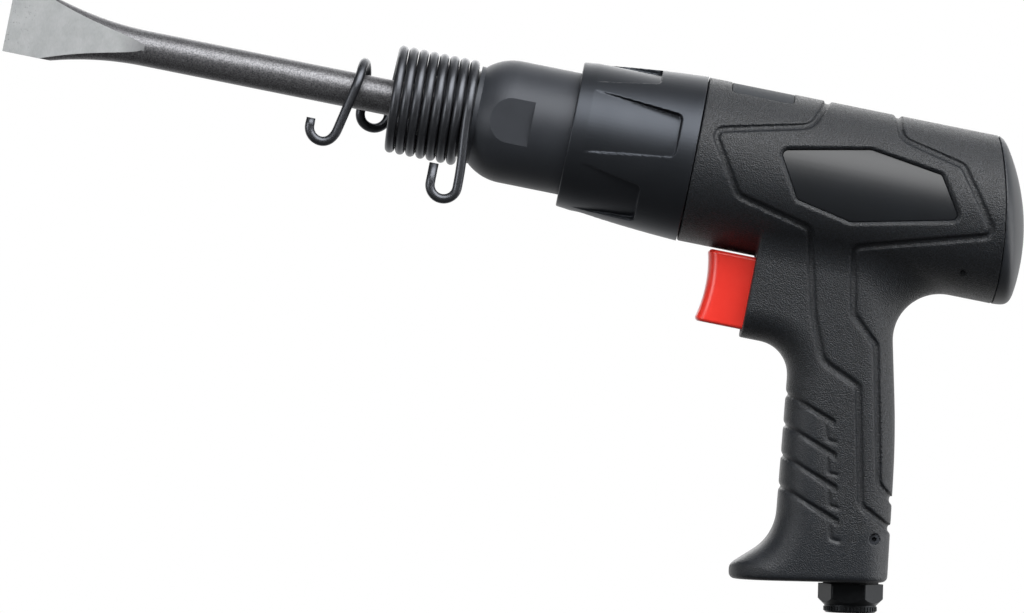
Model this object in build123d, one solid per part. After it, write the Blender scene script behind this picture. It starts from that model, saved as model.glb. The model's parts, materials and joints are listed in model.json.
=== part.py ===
from build123d import *
import math
import os

os.makedirs("parts", exist_ok=True)

# Air hammer with a flat chisel. All sizes are in mm and all angles in degrees.
# X runs back along the barrel axis from the front edge of the exhaust collar, Y runs across and Z is up.
# The export moves every piece so that the origin is the mouth of the air inlet under the grip.

# Clearances
RUN_GAP = 0.05          # round running fits, on the radius
SEAT_GAP = 0.03         # round pieces pushed or screwed together, on the radius
FACE_GAP = 0.3          # faces that move past each other
INSERT_GAP = 0.2        # round a piece that drops into a pocket

# Barrel and its nose
NOSE_REACH = 45.5       # collar front edge to nose face
NECK_DIA = 29.4         # seat of the retainer coil
NECK_LENGTH = 12.9
FLANGE_DIA = 32.4
FLANGE_WIDTH = 1.6
BARREL_DIA = 40.8
DOME_RADIUS = 17.0
DOME_LENGTH = 11.0
FLAT_ACROSS = 38.0      # spanner size
FLAT_BACK = 13.0        # collar front edge to the back wall of the flats
TAIL_DIA = 36.0         # part screwed into the sleeve
TAIL_LENGTH = 49.0
PISTON_BORE = 19.0
SHANK_BORE_LENGTH = 29.5
MOUTH_CONE = 1.5        # lead-in at the nose
EXHAUST_PORT_DIA = 4.0
EXHAUST_PORTS = 6
EXHAUST_PORT_X = 14.0

# Chisel
SHANK_DIA = 10.2
SHANK_LENGTH = 33.0
CHISEL_COLLAR_DIA = 20.0
CHISEL_COLLAR_WIDTH = 5.5
SHAFT_DIA = 11.8
CHISEL_REACH = 143.5    # nose face to cutting edge
BLADE_WIDTH = 20.3
BLADE_EDGE = 2.4
WEDGE_LENGTH = 46.0     # ground faces, cutting edge to run-out on the shaft
FLARE_LENGTH = 46.0
FLARE_RADIUS = 105.0
FLARE_STEPS = 4         # sections that the flare is drawn through
EDGE_CHAMFER = 0.8

# Retainer spring, one wire
WIRE_DIA = 2.85
TURN_GAP = 0.58
COIL_GAP = 0.15         # coil to neck, on the radius
COIL_HALF_TURNS = 15
COIL_LEAD = 22.0        # angle of the coil past the far side before it turns into the front loop
LOOP_GAP = 2.4          # front loop to chisel shaft
LOOP_BEND = 4.6         # bend between coil and loop
BEND_SWING = 0.4        # sideways share of the wire's direction in that bend
LOOP_ADVANCE = 0.1      # forward share of its direction on the loop
HOOK_BEND = 4.6
HOOK_DROP = 14.1        # barrel axis to the start of the hook
HOOK_LEAN = 3.0         # how far the hook leg leans forward
HOOK_END = 2.2
TAB_DROP = 25.0         # barrel axis to the bend of the rear finger tab
TAB_BEND = 4.5
TAB_END = 6.4
TAB_LEAN = 1.5          # how far the tab leans back

# Exhaust collar
COLLAR_LENGTH = 41.2
COLLAR_SLOT = 0.8       # air slot between lip and barrel
COLLAR_LIP = 2.2        # length of the lip at the front
COLLAR_LIP_WALL = 2.95
COLLAR_PROUD = 0.2      # back edge above the housing
COLLAR_SWELL = 0.3      # how far the flare bows out of a straight cone
CHAMBER_LENGTH = 27.0
POCKETS = 6
POCKET_TURN = 13.0      # the collar is turned by this angle at rest
POCKET_START = 4.5
LONG_POCKET_END = 35.0
SHORT_POCKET_END = 26.0
POCKET_FRONT_WIDTH = 21.6
POCKET_TAPER = 0.117    # how fast each side draws in
POCKET_RISE = 0.55      # pocket floor above the edge of the lip
POCKET_WALL = 2.2       # left under a pocket
POCKET_CORNER = 2.0
RING_WIDTH = 1.4        # snap ring in front of the collar's bearing
RING_DEPTH = 1.0
RING_HEIGHT = 2.6
RING_OPENING = 6.0
SEAL_WIRE = 1.7         # ring seals
SEAL_SETBACK = 5.2      # seal ahead of the collar's back edge

# Body of the housing
HOUSING_LENGTH = 103.4  # front face to the cap seam, on the axis
HOUSING_WALL = 4.9
SLEEVE_WALL = 4.5
SLEEVE_SETBACK = 0.5    # sleeve behind the housing's front face
CAP_SEAM_TILT = 9.0
CAP_SEAM_RADIUS = 187.0
CAP_SEAM_DROP = 0.15    # gap in the seam
DOME_CAP_RADIUS = 69.0
DOME_CAP_RISE = 7.8     # cap seam to the crown, on the axis
DOME_CAP_LOW = 14.0     # centre of the dome below the axis
CAP_EDGE = 2.3          # rounding of the crown's edge
CROWN_STEPS = 12        # heights at which the room for that rounding is measured
CAP_WALL = 4.5
PIN_DIA = 1.6
PIN_SETBACK = 9.9
PIN_DROP = 19.5
PIN_DEPTH = 0.3
PIN_LENGTH = 12.0

# Pistol grip, with distances along and across the slanted grip axis
RAKE = 10.0
GRIP_SETBACK = 56.2     # housing front to the grip axis, on the barrel axis
GRIP_LENGTH = 128.3     # barrel axis to base, along the grip axis
GRIP_WIDTH = 33.0
GRIP_EDGE = 11.0        # big roundings of the grip
GRIP_BACK_TOP = 9.6
GRIP_BACK_SWELL = 13.4
GRIP_BACK_LOW = 11.2
GRIP_SWELL_AT = 80.0
GRIP_SWELL_RADIUS = 300.0
GRIP_FRONT_TOP = 22.0
GRIP_FRONT_LOW = 25.4
THROAT_RADIUS = 11.0
TOE_RISE = 14.4         # start of the toe above the base
TOE_SLOPE = 57.0
TOE_RADIUS = 16.5
TOE_REACH = 40.4
TOE_CORNER = 16.4
TOE_HEIGHT = 15.5
BASE_EDGE = 2.0
ROOT_DROP = 11.0        # barrel axis to the grip's root inside the body
BOSS_SETBACK = 26.5     # housing front to the trigger boss
BOSS_FLOOR = 2.5        # boss below the trigger
BLEND_RADIUS = 15.7     # grip into the round body

# Moulded pattern. Points on the body are a distance from its end and a height, those on the grip a distance
# down its axis and a distance behind it.
GROOVE_WIDTH = 2.0
GROOVE_DEPTH = 1.0
FRONT_LINE_TOP = 42.0   # behind the housing front, as the next points are
FRONT_LINE_BODY = ((35.6, 17.6), (4.0, 10.1), (16.2, -9.4), (41.6, -15.3))
FRONT_LINE_GRIP = ((40.8, -15.0), (55.8, -11.8), (63.8, 0.2), (102.9, 1.9), (112.1, 14.0))
FRONT_LINE_ROUNDS = (6.0, 2.5, 4.0, 3.0, 8.0, 7.0, 2.5, 4.0)
REAR_LINE_TOP = 41.4    # ahead of the cap seam, as the next points are
REAR_LINE_BODY = ((38.3, 19.6), (16.8, 14.7), (2.2, -5.9), (46.5, -18.4))
REAR_LINE_GRIP = ((40.4, -2.0), (50.3, 5.8), (96.0, 7.7), (103.9, 15.0))
REAR_LINE_ROUNDS = (5.0, 3.0, 2.5, 2.5, 4.0, 3.0, 4.0)
PANEL_CORNERS = ((76.2, 7.8), (47.2, 13.8), (23.2, 10.2), (14.9, -2.9), (49.3, -10.5), (67.9, -6.7))
LEDGES = 4
LEDGE_START = 75.6      # inner end of the first finger ledge, down the grip axis
LEDGE_INNER = 7.1       # and ahead of it
LEDGE_PITCH = 10.8
LEDGE_DRIFT = 0.6       # how much further back each next ledge ends
LEDGE_SLOPE = 0.57      # fall of a ledge on its way back
LEDGE_LINE = 0.9        # height of a ledge's groove at the front of the grip
LEDGE_DEEP = 2.2        # and at its inner end
TAIL_AHEAD = 3.3        # start of a ledge's tail ahead of the inner end
TAIL_DROP = 6.2
TAIL_SHIFT = 0.9        # how far back the tail runs on its way down
TAIL_FOOT = 3.3         # length of the hook at the foot of the tail
TAIL_FOOT_FALL = 0.7
TAIL_WIDTH = 1.2
TAIL_DEPTH = 0.6
TAIL_ROUND = 1.2
PANEL_SINK = 1.4        # panel face below the body
PANEL_THICK = 1.6
PANEL_ROUND = 1.6
PANEL_BEVEL = 1.3
PLATE_LENGTH = 20.5
PLATE_WIDTH = 26.4
PLATE_SETBACK = 8.0
PLATE_THICK = 0.7
PLATE_SINK = 0.2
PLATE_CORNER = 1.5

# Hammer works in the sleeve
PISTON_LENGTH = 38.0
PISTON_REST = 0.5       # piston to valve seat at rest
SEAT_LENGTH = 7.0
COVER_LENGTH = 12.0
DISC_DIA = 16.0
DISC_THICK = 1.6
DISC_FLOAT = 1.0
DISC_GAP = 0.1
PORT_DIA = 6.0
DOWEL_DIA = 3.0
DOWEL_LENGTH = 9.0
DOWEL_RADIUS = 13.0
CUSHION_LENGTH = 7.0
CUSHION_BORE = 20.0
CAP_SEAL_SETBACK = 6.0

# Trigger and throttle
TRIGGER_ROOF = 0.6      # trigger below the round body
TRIGGER_HEIGHT = 24.1
TRIGGER_WIDTH = 18.0
TRIGGER_REACH = 15.9
TRIGGER_DISH = 1.7
TRIGGER_EDGE = 4.0
TRIGGER_CORNER = 1.2
TRIGGER_TUCK = 5.0
TRIGGER_TRAVEL = 6.5
STEM_DIA = 4.0
STEM_GRIP = 6.0
BUSH_DIA = 12.0
BUSH_LENGTH = 9.0
STEM_AIR_GAP = 1.0      # air space round the stem at the back of the bush
BUSH_PORT_DIA = 3.0
POPPET_DIA = 9.0
POPPET_LENGTH = 3.0
SPRING_WIRE = 0.9
SPRING_DIA = 7.4
SPRING_TURNS = 5
AIR_BORE = 9.0
AIR_SLOT_WIDTH = 6.0
AIR_SLOT_DEPTH = 2.0

# Air inlet
INSERT_DIA = 18.0
INSERT_LENGTH = 18.0
SPIGOT_DIA = 14.4
SPIGOT_LENGTH = 15.0
WASHER_THICK = 0.8
WASHER_DIA = 18.4
HEX_ACROSS = 19.0
HEX_HEIGHT = 6.9
HEX_TURN = 7.0
HEX_TRIM = 0.2          # taken off the corners
HEX_CHAMFER = 2.0       # at the corners of the free end
RIM_DIA = 17.2
RIM_HEIGHT = 2.6
RIM_CHAMFER = 0.5
THREAD_DIA = 11.4       # tapping size of a quarter-inch pipe thread
THREAD_DEPTH = 14.0
STRAINER_FLANGE_DIA = 10.0
STRAINER_FLANGE = 0.9
STRAINER_DIA = 7.8
STRAINER_LENGTH = 9.0
STRAINER_WALL = 0.5
SCREW_DIA = 3.4
SCREW_RISE = 14.4       # above the base
SCREW_BACK = 6.7
SCREW_LENGTH = 9.0
SCREW_SOCKET = 1.5
SCREW_SOCKET_DEPTH = 1.6

# Stations along the barrel
nose_x = -NOSE_REACH
neck_end_x = nose_x + NECK_LENGTH
dome_x = neck_end_x + FLANGE_WIDTH
housing_x = COLLAR_LENGTH + FACE_GAP
sleeve_x = housing_x + SLEEVE_SETBACK
tail_x = sleeve_x + TAIL_LENGTH
cover_x = tail_x + SEAT_LENGTH
cushion_x = cover_x + COVER_LENGTH
sleeve_end_x = cushion_x + CUSHION_LENGTH
cap_x = housing_x + HOUSING_LENGTH
grip_x = housing_x + GRIP_SETBACK
boss_x = housing_x + BOSS_SETBACK
bore_floor_x = nose_x + SHANK_BORE_LENGTH
barrel_r = BARREL_DIA / 2
tail_r = TAIL_DIA / 2
sleeve_r = tail_r + SLEEVE_WALL
housing_r = sleeve_r + HOUSING_WALL
half_grip = GRIP_WIDTH / 2
stem_z = -(housing_r + TRIGGER_ROOF + TRIGGER_HEIGHT / 2)
boss_z = stem_z - TRIGGER_HEIGHT / 2 - BOSS_FLOOR
toe_along = GRIP_LENGTH - TOE_RISE

rake_sin = math.sin(math.radians(RAKE))
rake_cos = math.cos(math.radians(RAKE))
GRIP = Plane(origin=(grip_x, 0, 0), x_dir=(rake_cos, 0, rake_sin), z_dir=(rake_sin, 0, -rake_cos))
mouth_along = GRIP_LENGTH + WASHER_THICK + HEX_HEIGHT + RIM_HEIGHT
FAR = 400.0             # longer than the whole tool, for cutters
OVERCUT = 5.0           # how far a short cutter runs past the outside
cut_r = housing_r + OVERCUT
PICK = 1e-3             # tolerance when edges are picked by their place
RISE = (Align.CENTER, Align.CENTER, Align.MIN)


def grip(along, back):
    """Side-view point at a distance down the grip axis and a distance behind it."""
    return (grip_x + along * rake_sin + back * rake_cos, -along * rake_cos + back * rake_sin)


def rod(radius, start, end, y=0.0, z=0.0):
    """Cylinder along X between two stations."""
    return Pos(start, y, z) * Rot(0, 90, 0) * Cylinder(radius, end - start, align=RISE)


def grip_rod(radius, start, end, back=0.0):
    """Cylinder along the grip axis between two distances below the barrel axis."""
    return GRIP.offset(start) * Pos(back, 0, 0) * Cylinder(radius, end - start, align=RISE)


def cross_rod(radius, x, z, start, end):
    """Cylinder along Y."""
    return Pos(x, start, z) * Rot(-90, 0, 0) * Cylinder(radius, end - start, align=RISE)


def up_rod(radius, x, z, height):
    """Cylinder straight up from a point in the middle plane."""
    return Pos(x, 0, z) * Cylinder(radius, height, align=RISE)


def down_rod(radius, x, z, depth):
    """Cylinder straight down from a point in the middle plane."""
    return Pos(x, 0, z) * Rot(180, 0, 0) * Cylinder(radius, depth, align=RISE)


def block(x0, x1, y0, y1, z0, z1):
    """Box between two corners."""
    return Pos((x0 + x1) / 2, (y0 + y1) / 2, (z0 + z1) / 2) * Box(x1 - x0, y1 - y0, z1 - z0)


def turned(outline):
    """Solid of revolution about the barrel axis from a closed outline of station and radius."""
    return revolve(make_face(Plane.XZ * outline), Axis.X)


def side_face(outline):
    """Face in the side view from a closed outline."""
    return make_face(Plane.XZ * outline)


def both_ways(face, reach=FAR):
    """Side-view face drawn out to both sides of the middle plane."""
    return extrude(face, reach, both=True)


def ring_seal(x, radius):
    """Round ring seal about the barrel axis whose outside has the given radius."""
    return Pos(x, 0, 0) * Rot(0, 90, 0) * Torus(radius - SEAL_WIRE / 2, SEAL_WIRE / 2)


def seal_groove(x, radius, outer):
    """Groove that holds a ring seal."""
    half = SEAL_WIRE / 2 + INSERT_GAP
    return rod(outer, x - half, x + half) - rod(radius - SEAL_WIRE - SEAT_GAP, x - half, x + half)


def biarc(start, start_way, end, end_way):
    """Two arcs that leave start along start_way and reach end along end_way."""
    gap = end - start
    ways = start_way + end_way
    bend = 2 * (1 - start_way.dot(end_way))
    reach = gap.dot(ways)
    if bend < 1e-9:
        arm = gap.dot(gap) / (2 * reach)
    else:
        arm = (math.sqrt(reach * reach + bend * gap.dot(gap)) - reach) / bend
    first = start + start_way * arm
    last = end - end_way * arm
    middle = (first + last) * 0.5
    middle_way = (last - first).normalized()
    return [TangentArc(start, middle, tangent=start_way), TangentArc(middle, end, tangent=middle_way)]


def wire_path(stops):
    """Smooth path through points that each have a direction. Straight where the directions allow it."""
    edges = []
    for (start, start_way), (end, end_way) in zip(stops, stops[1:]):
        along = (end - start).normalized()
        if along.dot(start_way) > 1 - 1e-9 and along.dot(end_way) > 1 - 1e-9:
            edges.append(Line(start, end))
        else:
            edges += biarc(start, start_way, end, end_way)
    return Wire(edges)


def wire_solid(path, diameter):
    """Round wire swept along a path."""
    return sweep(Plane(path @ 0, z_dir=path % 0) * Circle(diameter / 2), path)


def least_gap(path, diameter, step=0.5):
    """Least gap of a wire to itself, measured on points that lie over four diameters apart along it."""
    count = int(path.length / step)
    places = [tuple(path.position_at(i / count)) for i in range(count + 1)]
    skip = int(4 * diameter / step)
    least = FAR
    for i, place in enumerate(places):
        for other in places[i + skip:]:
            least = min(least, math.dist(place, other))
    return least - diameter


# Barrel: turned steel, with spanner flats, exhaust ports and grooves for the snap ring and the seal
dome_low_r = barrel_r - DOME_RADIUS + math.sqrt(DOME_RADIUS ** 2 - DOME_LENGTH ** 2)
dome_mid = math.radians(90 + math.degrees(math.asin(DOME_LENGTH / DOME_RADIUS)) / 2)
dome_mid_point = (
    dome_x + DOME_LENGTH + DOME_RADIUS * math.cos(dome_mid),
    barrel_r - DOME_RADIUS + DOME_RADIUS * math.sin(dome_mid),
)
shank_bore_r = SHANK_DIA / 2 + RUN_GAP
barrel_front = Polyline(
    (nose_x + MOUTH_CONE, shank_bore_r),
    (nose_x, shank_bore_r + MOUTH_CONE),
    (nose_x, NECK_DIA / 2),
    (neck_end_x, NECK_DIA / 2),
    (neck_end_x, FLANGE_DIA / 2),
    (dome_x, FLANGE_DIA / 2),
    (dome_x, dome_low_r),
)
barrel_dome = ThreePointArc((dome_x, dome_low_r), dome_mid_point, (dome_x + DOME_LENGTH, barrel_r))
barrel_back = Polyline(
    (dome_x + DOME_LENGTH, barrel_r),
    (sleeve_x, barrel_r),
    (sleeve_x, tail_r),
    (tail_x, tail_r),
    (tail_x, PISTON_BORE / 2),
    (bore_floor_x, PISTON_BORE / 2),
    (bore_floor_x, shank_bore_r),
    (nose_x + MOUTH_CONE, shank_bore_r),
)
barrel = turned(barrel_front + barrel_dome + barrel_back)
flat_waste = block(nose_x, -FLAT_BACK, FLAT_ACROSS / 2, cut_r, -barrel_r, barrel_r)
barrel -= flat_waste
barrel -= mirror(flat_waste, Plane.XZ)
exhaust_drill = up_rod(EXHAUST_PORT_DIA / 2, EXHAUST_PORT_X, 0, cut_r)
for index in range(EXHAUST_PORTS):
    barrel -= Rot(360 / EXHAUST_PORTS * index, 0, 0) * exhaust_drill
ring_x = COLLAR_LIP + CHAMBER_LENGTH - FACE_GAP - RING_WIDTH
ring_inner_r = barrel_r - RING_DEPTH
ring_end_x = ring_x + RING_WIDTH
seal_x = COLLAR_LENGTH - SEAL_SETBACK
barrel -= rod(cut_r, ring_x, ring_end_x) - rod(ring_inner_r - SEAT_GAP, ring_x, ring_end_x)
barrel -= seal_groove(seal_x, barrel_r - RUN_GAP, cut_r)

# Snap ring that keeps the collar on the barrel
collar_ring = rod(ring_inner_r + RING_HEIGHT, ring_x, ring_end_x) - rod(ring_inner_r, ring_x, ring_end_x)
collar_ring -= block(ring_x, ring_end_x, -RING_OPENING / 2, RING_OPENING / 2, -cut_r, 0)

# Ring seal under the collar
collar_seal = ring_seal(seal_x, barrel_r - RUN_GAP)

# Exhaust collar: flared shell that turns on the barrel, with scooped pockets
bearing_r = barrel_r + RUN_GAP
lip_r = barrel_r + COLLAR_SLOT
collar_front_r = lip_r + COLLAR_LIP_WALL
collar_back_r = housing_r + COLLAR_PROUD
flare_mid_r = (collar_front_r + collar_back_r) / 2 + COLLAR_SWELL
pocket_floor_r = collar_front_r + POCKET_RISE
chamber_r = pocket_floor_r - POCKET_WALL
collar_flare = ThreePointArc(
    (0, collar_front_r),
    (COLLAR_LENGTH / 2, flare_mid_r),
    (COLLAR_LENGTH, collar_back_r),
)
collar_inside = Polyline(
    (COLLAR_LENGTH, collar_back_r),
    (COLLAR_LENGTH, bearing_r),
    (COLLAR_LIP + CHAMBER_LENGTH, bearing_r),
    (COLLAR_LIP + CHAMBER_LENGTH, chamber_r),
    (COLLAR_LIP, chamber_r),
    (COLLAR_LIP, lip_r),
    (0, lip_r),
    (0, collar_front_r),
)
exhaust_collar = turned(collar_flare + collar_inside)
pocket_floor = rod(pocket_floor_r, 0, COLLAR_LENGTH)
for index in range(POCKETS):
    pocket_end = LONG_POCKET_END if index % 2 == 0 else SHORT_POCKET_END
    wide = POCKET_FRONT_WIDTH / 2
    narrow = wide - POCKET_TAPER * (pocket_end - POCKET_START)
    corners = ((POCKET_START, -wide), (pocket_end, -narrow), (pocket_end, narrow), (POCKET_START, wide))
    scoop = side_face(FilletPolyline(*corners, radius=[0, POCKET_CORNER, POCKET_CORNER, 0], close=True))
    scoop = extrude(scoop, cut_r) - pocket_floor
    exhaust_collar -= Rot(-(POCKET_TURN + 360 / POCKETS * index), 0, 0) * scoop

# Chisel: forged round bar, flared and ground to a flat blade
chisel_tip_x = nose_x - CHISEL_REACH
chisel_collar_x = nose_x - CHISEL_COLLAR_WIDTH
shaft_r = SHAFT_DIA / 2
flare_x = chisel_tip_x + FLARE_LENGTH


def flare_section(distance):
    """Section of the flared bar, an oval as thick as the shaft that widens towards the cutting edge."""
    wide = shaft_r + distance ** 2 / (2 * FLARE_RADIUS)
    place = Plane(origin=(flare_x - distance, 0, 0), x_dir=(0, 0, 1), z_dir=(-1, 0, 0))
    return place * Ellipse(wide, shaft_r)


blade = loft([flare_section(FLARE_LENGTH * step / FLARE_STEPS) for step in range(FLARE_STEPS + 1)])
blade &= block(chisel_tip_x, flare_x, -shaft_r, shaft_r, -BLADE_WIDTH / 2, BLADE_WIDTH / 2)
wedge_x = chisel_tip_x + WEDGE_LENGTH
wedge = Polyline(
    (chisel_tip_x, BLADE_EDGE / 2),
    (wedge_x, shaft_r),
    (nose_x, shaft_r),
    (nose_x, -shaft_r),
    (wedge_x, -shaft_r),
    (chisel_tip_x, -BLADE_EDGE / 2),
    close=True,
)
blade &= extrude(make_face(wedge), BLADE_WIDTH, both=True)
chisel_bar = turned(Polyline(
    (flare_x, 0),
    (flare_x, shaft_r),
    (chisel_collar_x, shaft_r),
    (chisel_collar_x, CHISEL_COLLAR_DIA / 2 - EDGE_CHAMFER),
    (chisel_collar_x + EDGE_CHAMFER, CHISEL_COLLAR_DIA / 2),
    (nose_x - EDGE_CHAMFER, CHISEL_COLLAR_DIA / 2),
    (nose_x, CHISEL_COLLAR_DIA / 2 - EDGE_CHAMFER),
    (nose_x, SHANK_DIA / 2),
    (nose_x + SHANK_LENGTH - EDGE_CHAMFER, SHANK_DIA / 2),
    (nose_x + SHANK_LENGTH, SHANK_DIA / 2 - EDGE_CHAMFER),
    (nose_x + SHANK_LENGTH, 0),
    close=True,
))
chisel = chisel_bar + blade

# Retainer spring: coil on the nose, loop round the chisel that ends in a hook, finger tab at the back
coil_r = NECK_DIA / 2 + COIL_GAP + WIRE_DIA / 2
coil_pitch = WIRE_DIA + TURN_GAP
coil_end_x = neck_end_x - FACE_GAP - WIRE_DIA / 2
loop_r = shaft_r + LOOP_GAP + WIRE_DIA / 2


def coil_stop(angle):
    """Point and forward direction on the coil, by the angle before its end on the near side."""
    turn = math.radians(angle)
    station = coil_end_x - coil_pitch * angle / 360
    point = Vector(station, -coil_r * math.cos(turn), coil_r * math.sin(turn))
    climb = coil_pitch / (2 * math.pi)
    way = Vector(-climb, coil_r * math.sin(turn), coil_r * math.cos(turn)).normalized()
    return point, way


forward = Vector(-1, 0, 0)
up = Vector(0, 0, 1)
across = Vector(0, -1, 0)
tab_x = coil_end_x + TAB_LEAN
tab_end = Vector(tab_x - 2 * TAB_BEND, -coil_r, TAB_END - TAB_DROP)
tab_front = Vector(tab_x - 2 * TAB_BEND, -coil_r, -TAB_DROP)
tab_low = Vector(tab_x - TAB_BEND, -coil_r, -TAB_DROP - TAB_BEND)
tab_back = Vector(tab_x, -coil_r, -TAB_DROP)
spring_stops = [(tab_end, -up), (tab_front, -up), (tab_low, -forward), (tab_back, up)]
spring_stops += [coil_stop(180 * half) for half in range(COIL_HALF_TURNS + 1)]
spring_stops += [coil_stop(180 * COIL_HALF_TURNS + COIL_LEAD)]
lead_point = spring_stops[-1][0]
bend_x = lead_point.X - LOOP_BEND
loop_x = bend_x - LOOP_BEND
bend_y = (lead_point.Y + loop_r) / 2
hook_x = loop_x - 2 * WIRE_DIA
lean = Vector(-HOOK_LEAN, 0, -HOOK_DROP).normalized()
hook_start = Vector(hook_x + WIRE_DIA, -loop_r, 0)
hook_leg = hook_start + lean * (HOOK_DROP / -lean.Z)
hook_low = Vector(hook_leg.X - HOOK_BEND, -loop_r, hook_leg.Z - HOOK_BEND)
hook_front = Vector(hook_low.X - HOOK_BEND, -loop_r, hook_leg.Z)
spring_stops += [
    (Vector(bend_x, bend_y, lead_point.Z - LOOP_BEND), (forward + across * BEND_SWING).normalized()),
    (Vector(loop_x, loop_r, lead_point.Z), up),
    (Vector(loop_x, loop_r, 0), up),
    (Vector(loop_x - WIRE_DIA / 2, 0, loop_r), (forward * LOOP_ADVANCE + across).normalized()),
    (hook_start, lean),
    (hook_leg, lean),
    (hook_low, forward),
    (hook_front, up),
    (hook_front + up * HOOK_END, up),
]
retainer_path = wire_path(spring_stops)
retainer_spring = wire_solid(retainer_path, WIRE_DIA)
print("retainer spring: least gap to itself", round(least_gap(retainer_path, WIRE_DIA), 2), "mm")


# Housing: round body and pistol grip moulded in one, with grooves, finger ledges and framed windows
throat_along = (-boss_z - GRIP_FRONT_TOP * rake_sin) / rake_cos
long_grip = GRIP_LENGTH + TOE_HEIGHT
long_toe = GRIP_FRONT_LOW + (long_grip - toe_along) * math.tan(math.radians(TOE_SLOPE))
long_boss_x = boss_x - TRIGGER_REACH


def grip_outline():
    """Side view of boss and grip, run up into the body and too long at the boss face and the base."""
    corners = (
        (long_boss_x, -ROOT_DROP),
        (long_boss_x, boss_z),
        grip(throat_along, -GRIP_FRONT_TOP),
        grip(toe_along, -GRIP_FRONT_LOW),
        grip(long_grip, -long_toe),
        grip(long_grip, GRIP_BACK_LOW),
        grip(GRIP_SWELL_AT, GRIP_BACK_SWELL),
        grip(ROOT_DROP, GRIP_BACK_TOP),
    )
    rounds = [0, 0, THROAT_RADIUS, TOE_RADIUS, 0, 0, GRIP_SWELL_RADIUS, 0]
    return FilletPolyline(*corners, radius=rounds, close=True)


def toe_waste(inset):
    """What is cut off round the front of the toe, seen along the grip."""
    half = half_grip - inset
    front = inset - TOE_REACH
    corners = ((front, -half), (TOE_REACH, -half), (TOE_REACH, half), (front, half))
    corner_r = min(TOE_CORNER - inset, half - PICK)
    nose = make_face(FilletPolyline(*corners, radius=[corner_r, 0, 0, corner_r], close=True))
    return make_face(Polyline((-FAR, -FAR), (0, -FAR), (0, FAR), (-FAR, FAR), close=True)) - nose


def outer_form(inset):
    """Outside of the housing, drawn in by an inset so that grooves have an even depth."""
    half = half_grip - inset
    face = side_face(grip_outline())
    if inset > 0:
        face = offset(face, -inset)
    handle = extrude(face, half, both=True)

    def long_edge(edge):
        """Side edge of the grip that gets the big rounding: not the boss face, the base or the top."""
        ends = [edge @ t for t in (0, 1)]
        levels = [GRIP.to_local_coords(end).Z for end in ends]
        along_side = all(abs(end.Y - (edge @ 0.5).Y) < PICK for end in ends)
        on_side = along_side and abs(abs(ends[0].Y) - half) < PICK
        on_boss = all(end.X < long_boss_x + inset + PICK for end in ends)
        on_base = all(level > long_grip - inset - PICK for level in levels)
        on_top = all(level < 2 * ROOT_DROP for level in levels)
        return on_side and not (on_boss or on_base or on_top)

    handle = fillet(handle.edges().filter_by(long_edge), GRIP_EDGE - inset)
    handle -= block(long_boss_x, boss_x + inset, -GRIP_WIDTH, GRIP_WIDTH, boss_z, 0)
    handle -= GRIP.offset(GRIP_LENGTH - inset) * Box(FAR, FAR, FAR, align=RISE)
    handle -= extrude(GRIP.offset(GRIP_LENGTH - TOE_HEIGHT) * toe_waste(inset), 2 * TOE_HEIGHT)
    if inset == 0:
        base_edges = handle.faces().sort_by(Axis(GRIP.origin, GRIP.z_dir))[-1].edges()
        handle = fillet(base_edges, BASE_EDGE)
    body = rod(housing_r - inset, housing_x, cap_x + housing_r) + handle

    def joint_edge(edge):
        """Edge where the grip meets the round body, apart from the boss face."""
        ends = [edge @ t for t in (0.02, 0.5, 0.98)]
        on_round = all(abs(math.hypot(end.Y, end.Z) - housing_r + inset) < PICK for end in ends)
        below = all(end.Z < -ROOT_DROP for end in ends)
        on_boss = all(end.X < boss_x + inset + PICK for end in ends)
        return on_round and below and not on_boss

    return fillet(body.edges().filter_by(joint_edge), BLEND_RADIUS + inset)


seam_slope = math.radians(CAP_SEAM_TILT)
seam_centre = (cap_x - CAP_SEAM_RADIUS * math.cos(seam_slope), -CAP_SEAM_RADIUS * math.sin(seam_slope))


def seam_side(radius):
    """Everything in front of the curved cap seam."""
    return cross_rod(radius, seam_centre[0], seam_centre[1], -FAR, FAR)


def groove(points, rounds, width):
    """Side-view strip of even width along a rounded path."""
    return Plane.XZ * trace(FilletPolyline(*points, radius=list(rounds)), width)


front_points = [(housing_x + FRONT_LINE_TOP, cut_r)]
front_points += [(housing_x + behind, height) for behind, height in FRONT_LINE_BODY]
front_points += [grip(along, back) for along, back in FRONT_LINE_GRIP]
rear_points = [(cap_x - REAR_LINE_TOP, cut_r)]
rear_points += [(cap_x - ahead, height) for ahead, height in REAR_LINE_BODY]
rear_points += [grip(along, back) for along, back in REAR_LINE_GRIP]
front_groove = groove(front_points, FRONT_LINE_ROUNDS, GROOVE_WIDTH)
rear_groove = groove(rear_points, REAR_LINE_ROUNDS, GROOVE_WIDTH)


def ledge_end(index):
    """Inner end of a finger ledge, down the grip axis and behind it."""
    return LEDGE_START + LEDGE_PITCH * index, LEDGE_DRIFT * index - LEDGE_INNER


def ledge(index):
    """Side-view strip of one finger ledge that widens from in front of the grip to its inner end."""
    inner, back = ledge_end(index)
    reach = GRIP_FRONT_LOW + OVERCUT + back
    outer = inner - LEDGE_SLOPE * reach
    half = LEDGE_LINE / 2
    corners = (
        grip(outer - half, back - reach),
        grip(inner - half, back),
        grip(inner - half + LEDGE_DEEP, back),
        grip(outer + half, back - reach),
    )
    return side_face(Polyline(*corners, close=True))


def ledge_tail(index):
    """Shallow side-view groove that runs down from a finger ledge and ends in a small hook."""
    inner, back = ledge_end(index)
    top = inner - LEDGE_SLOPE * TAIL_AHEAD
    foot = back - TAIL_AHEAD + TAIL_SHIFT
    points = (
        grip(top, back - TAIL_AHEAD),
        grip(inner + TAIL_DROP, foot),
        grip(inner + TAIL_DROP + TAIL_FOOT_FALL, foot + TAIL_FOOT),
    )
    return groove(points, (TAIL_ROUND,), TAIL_WIDTH)


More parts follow.
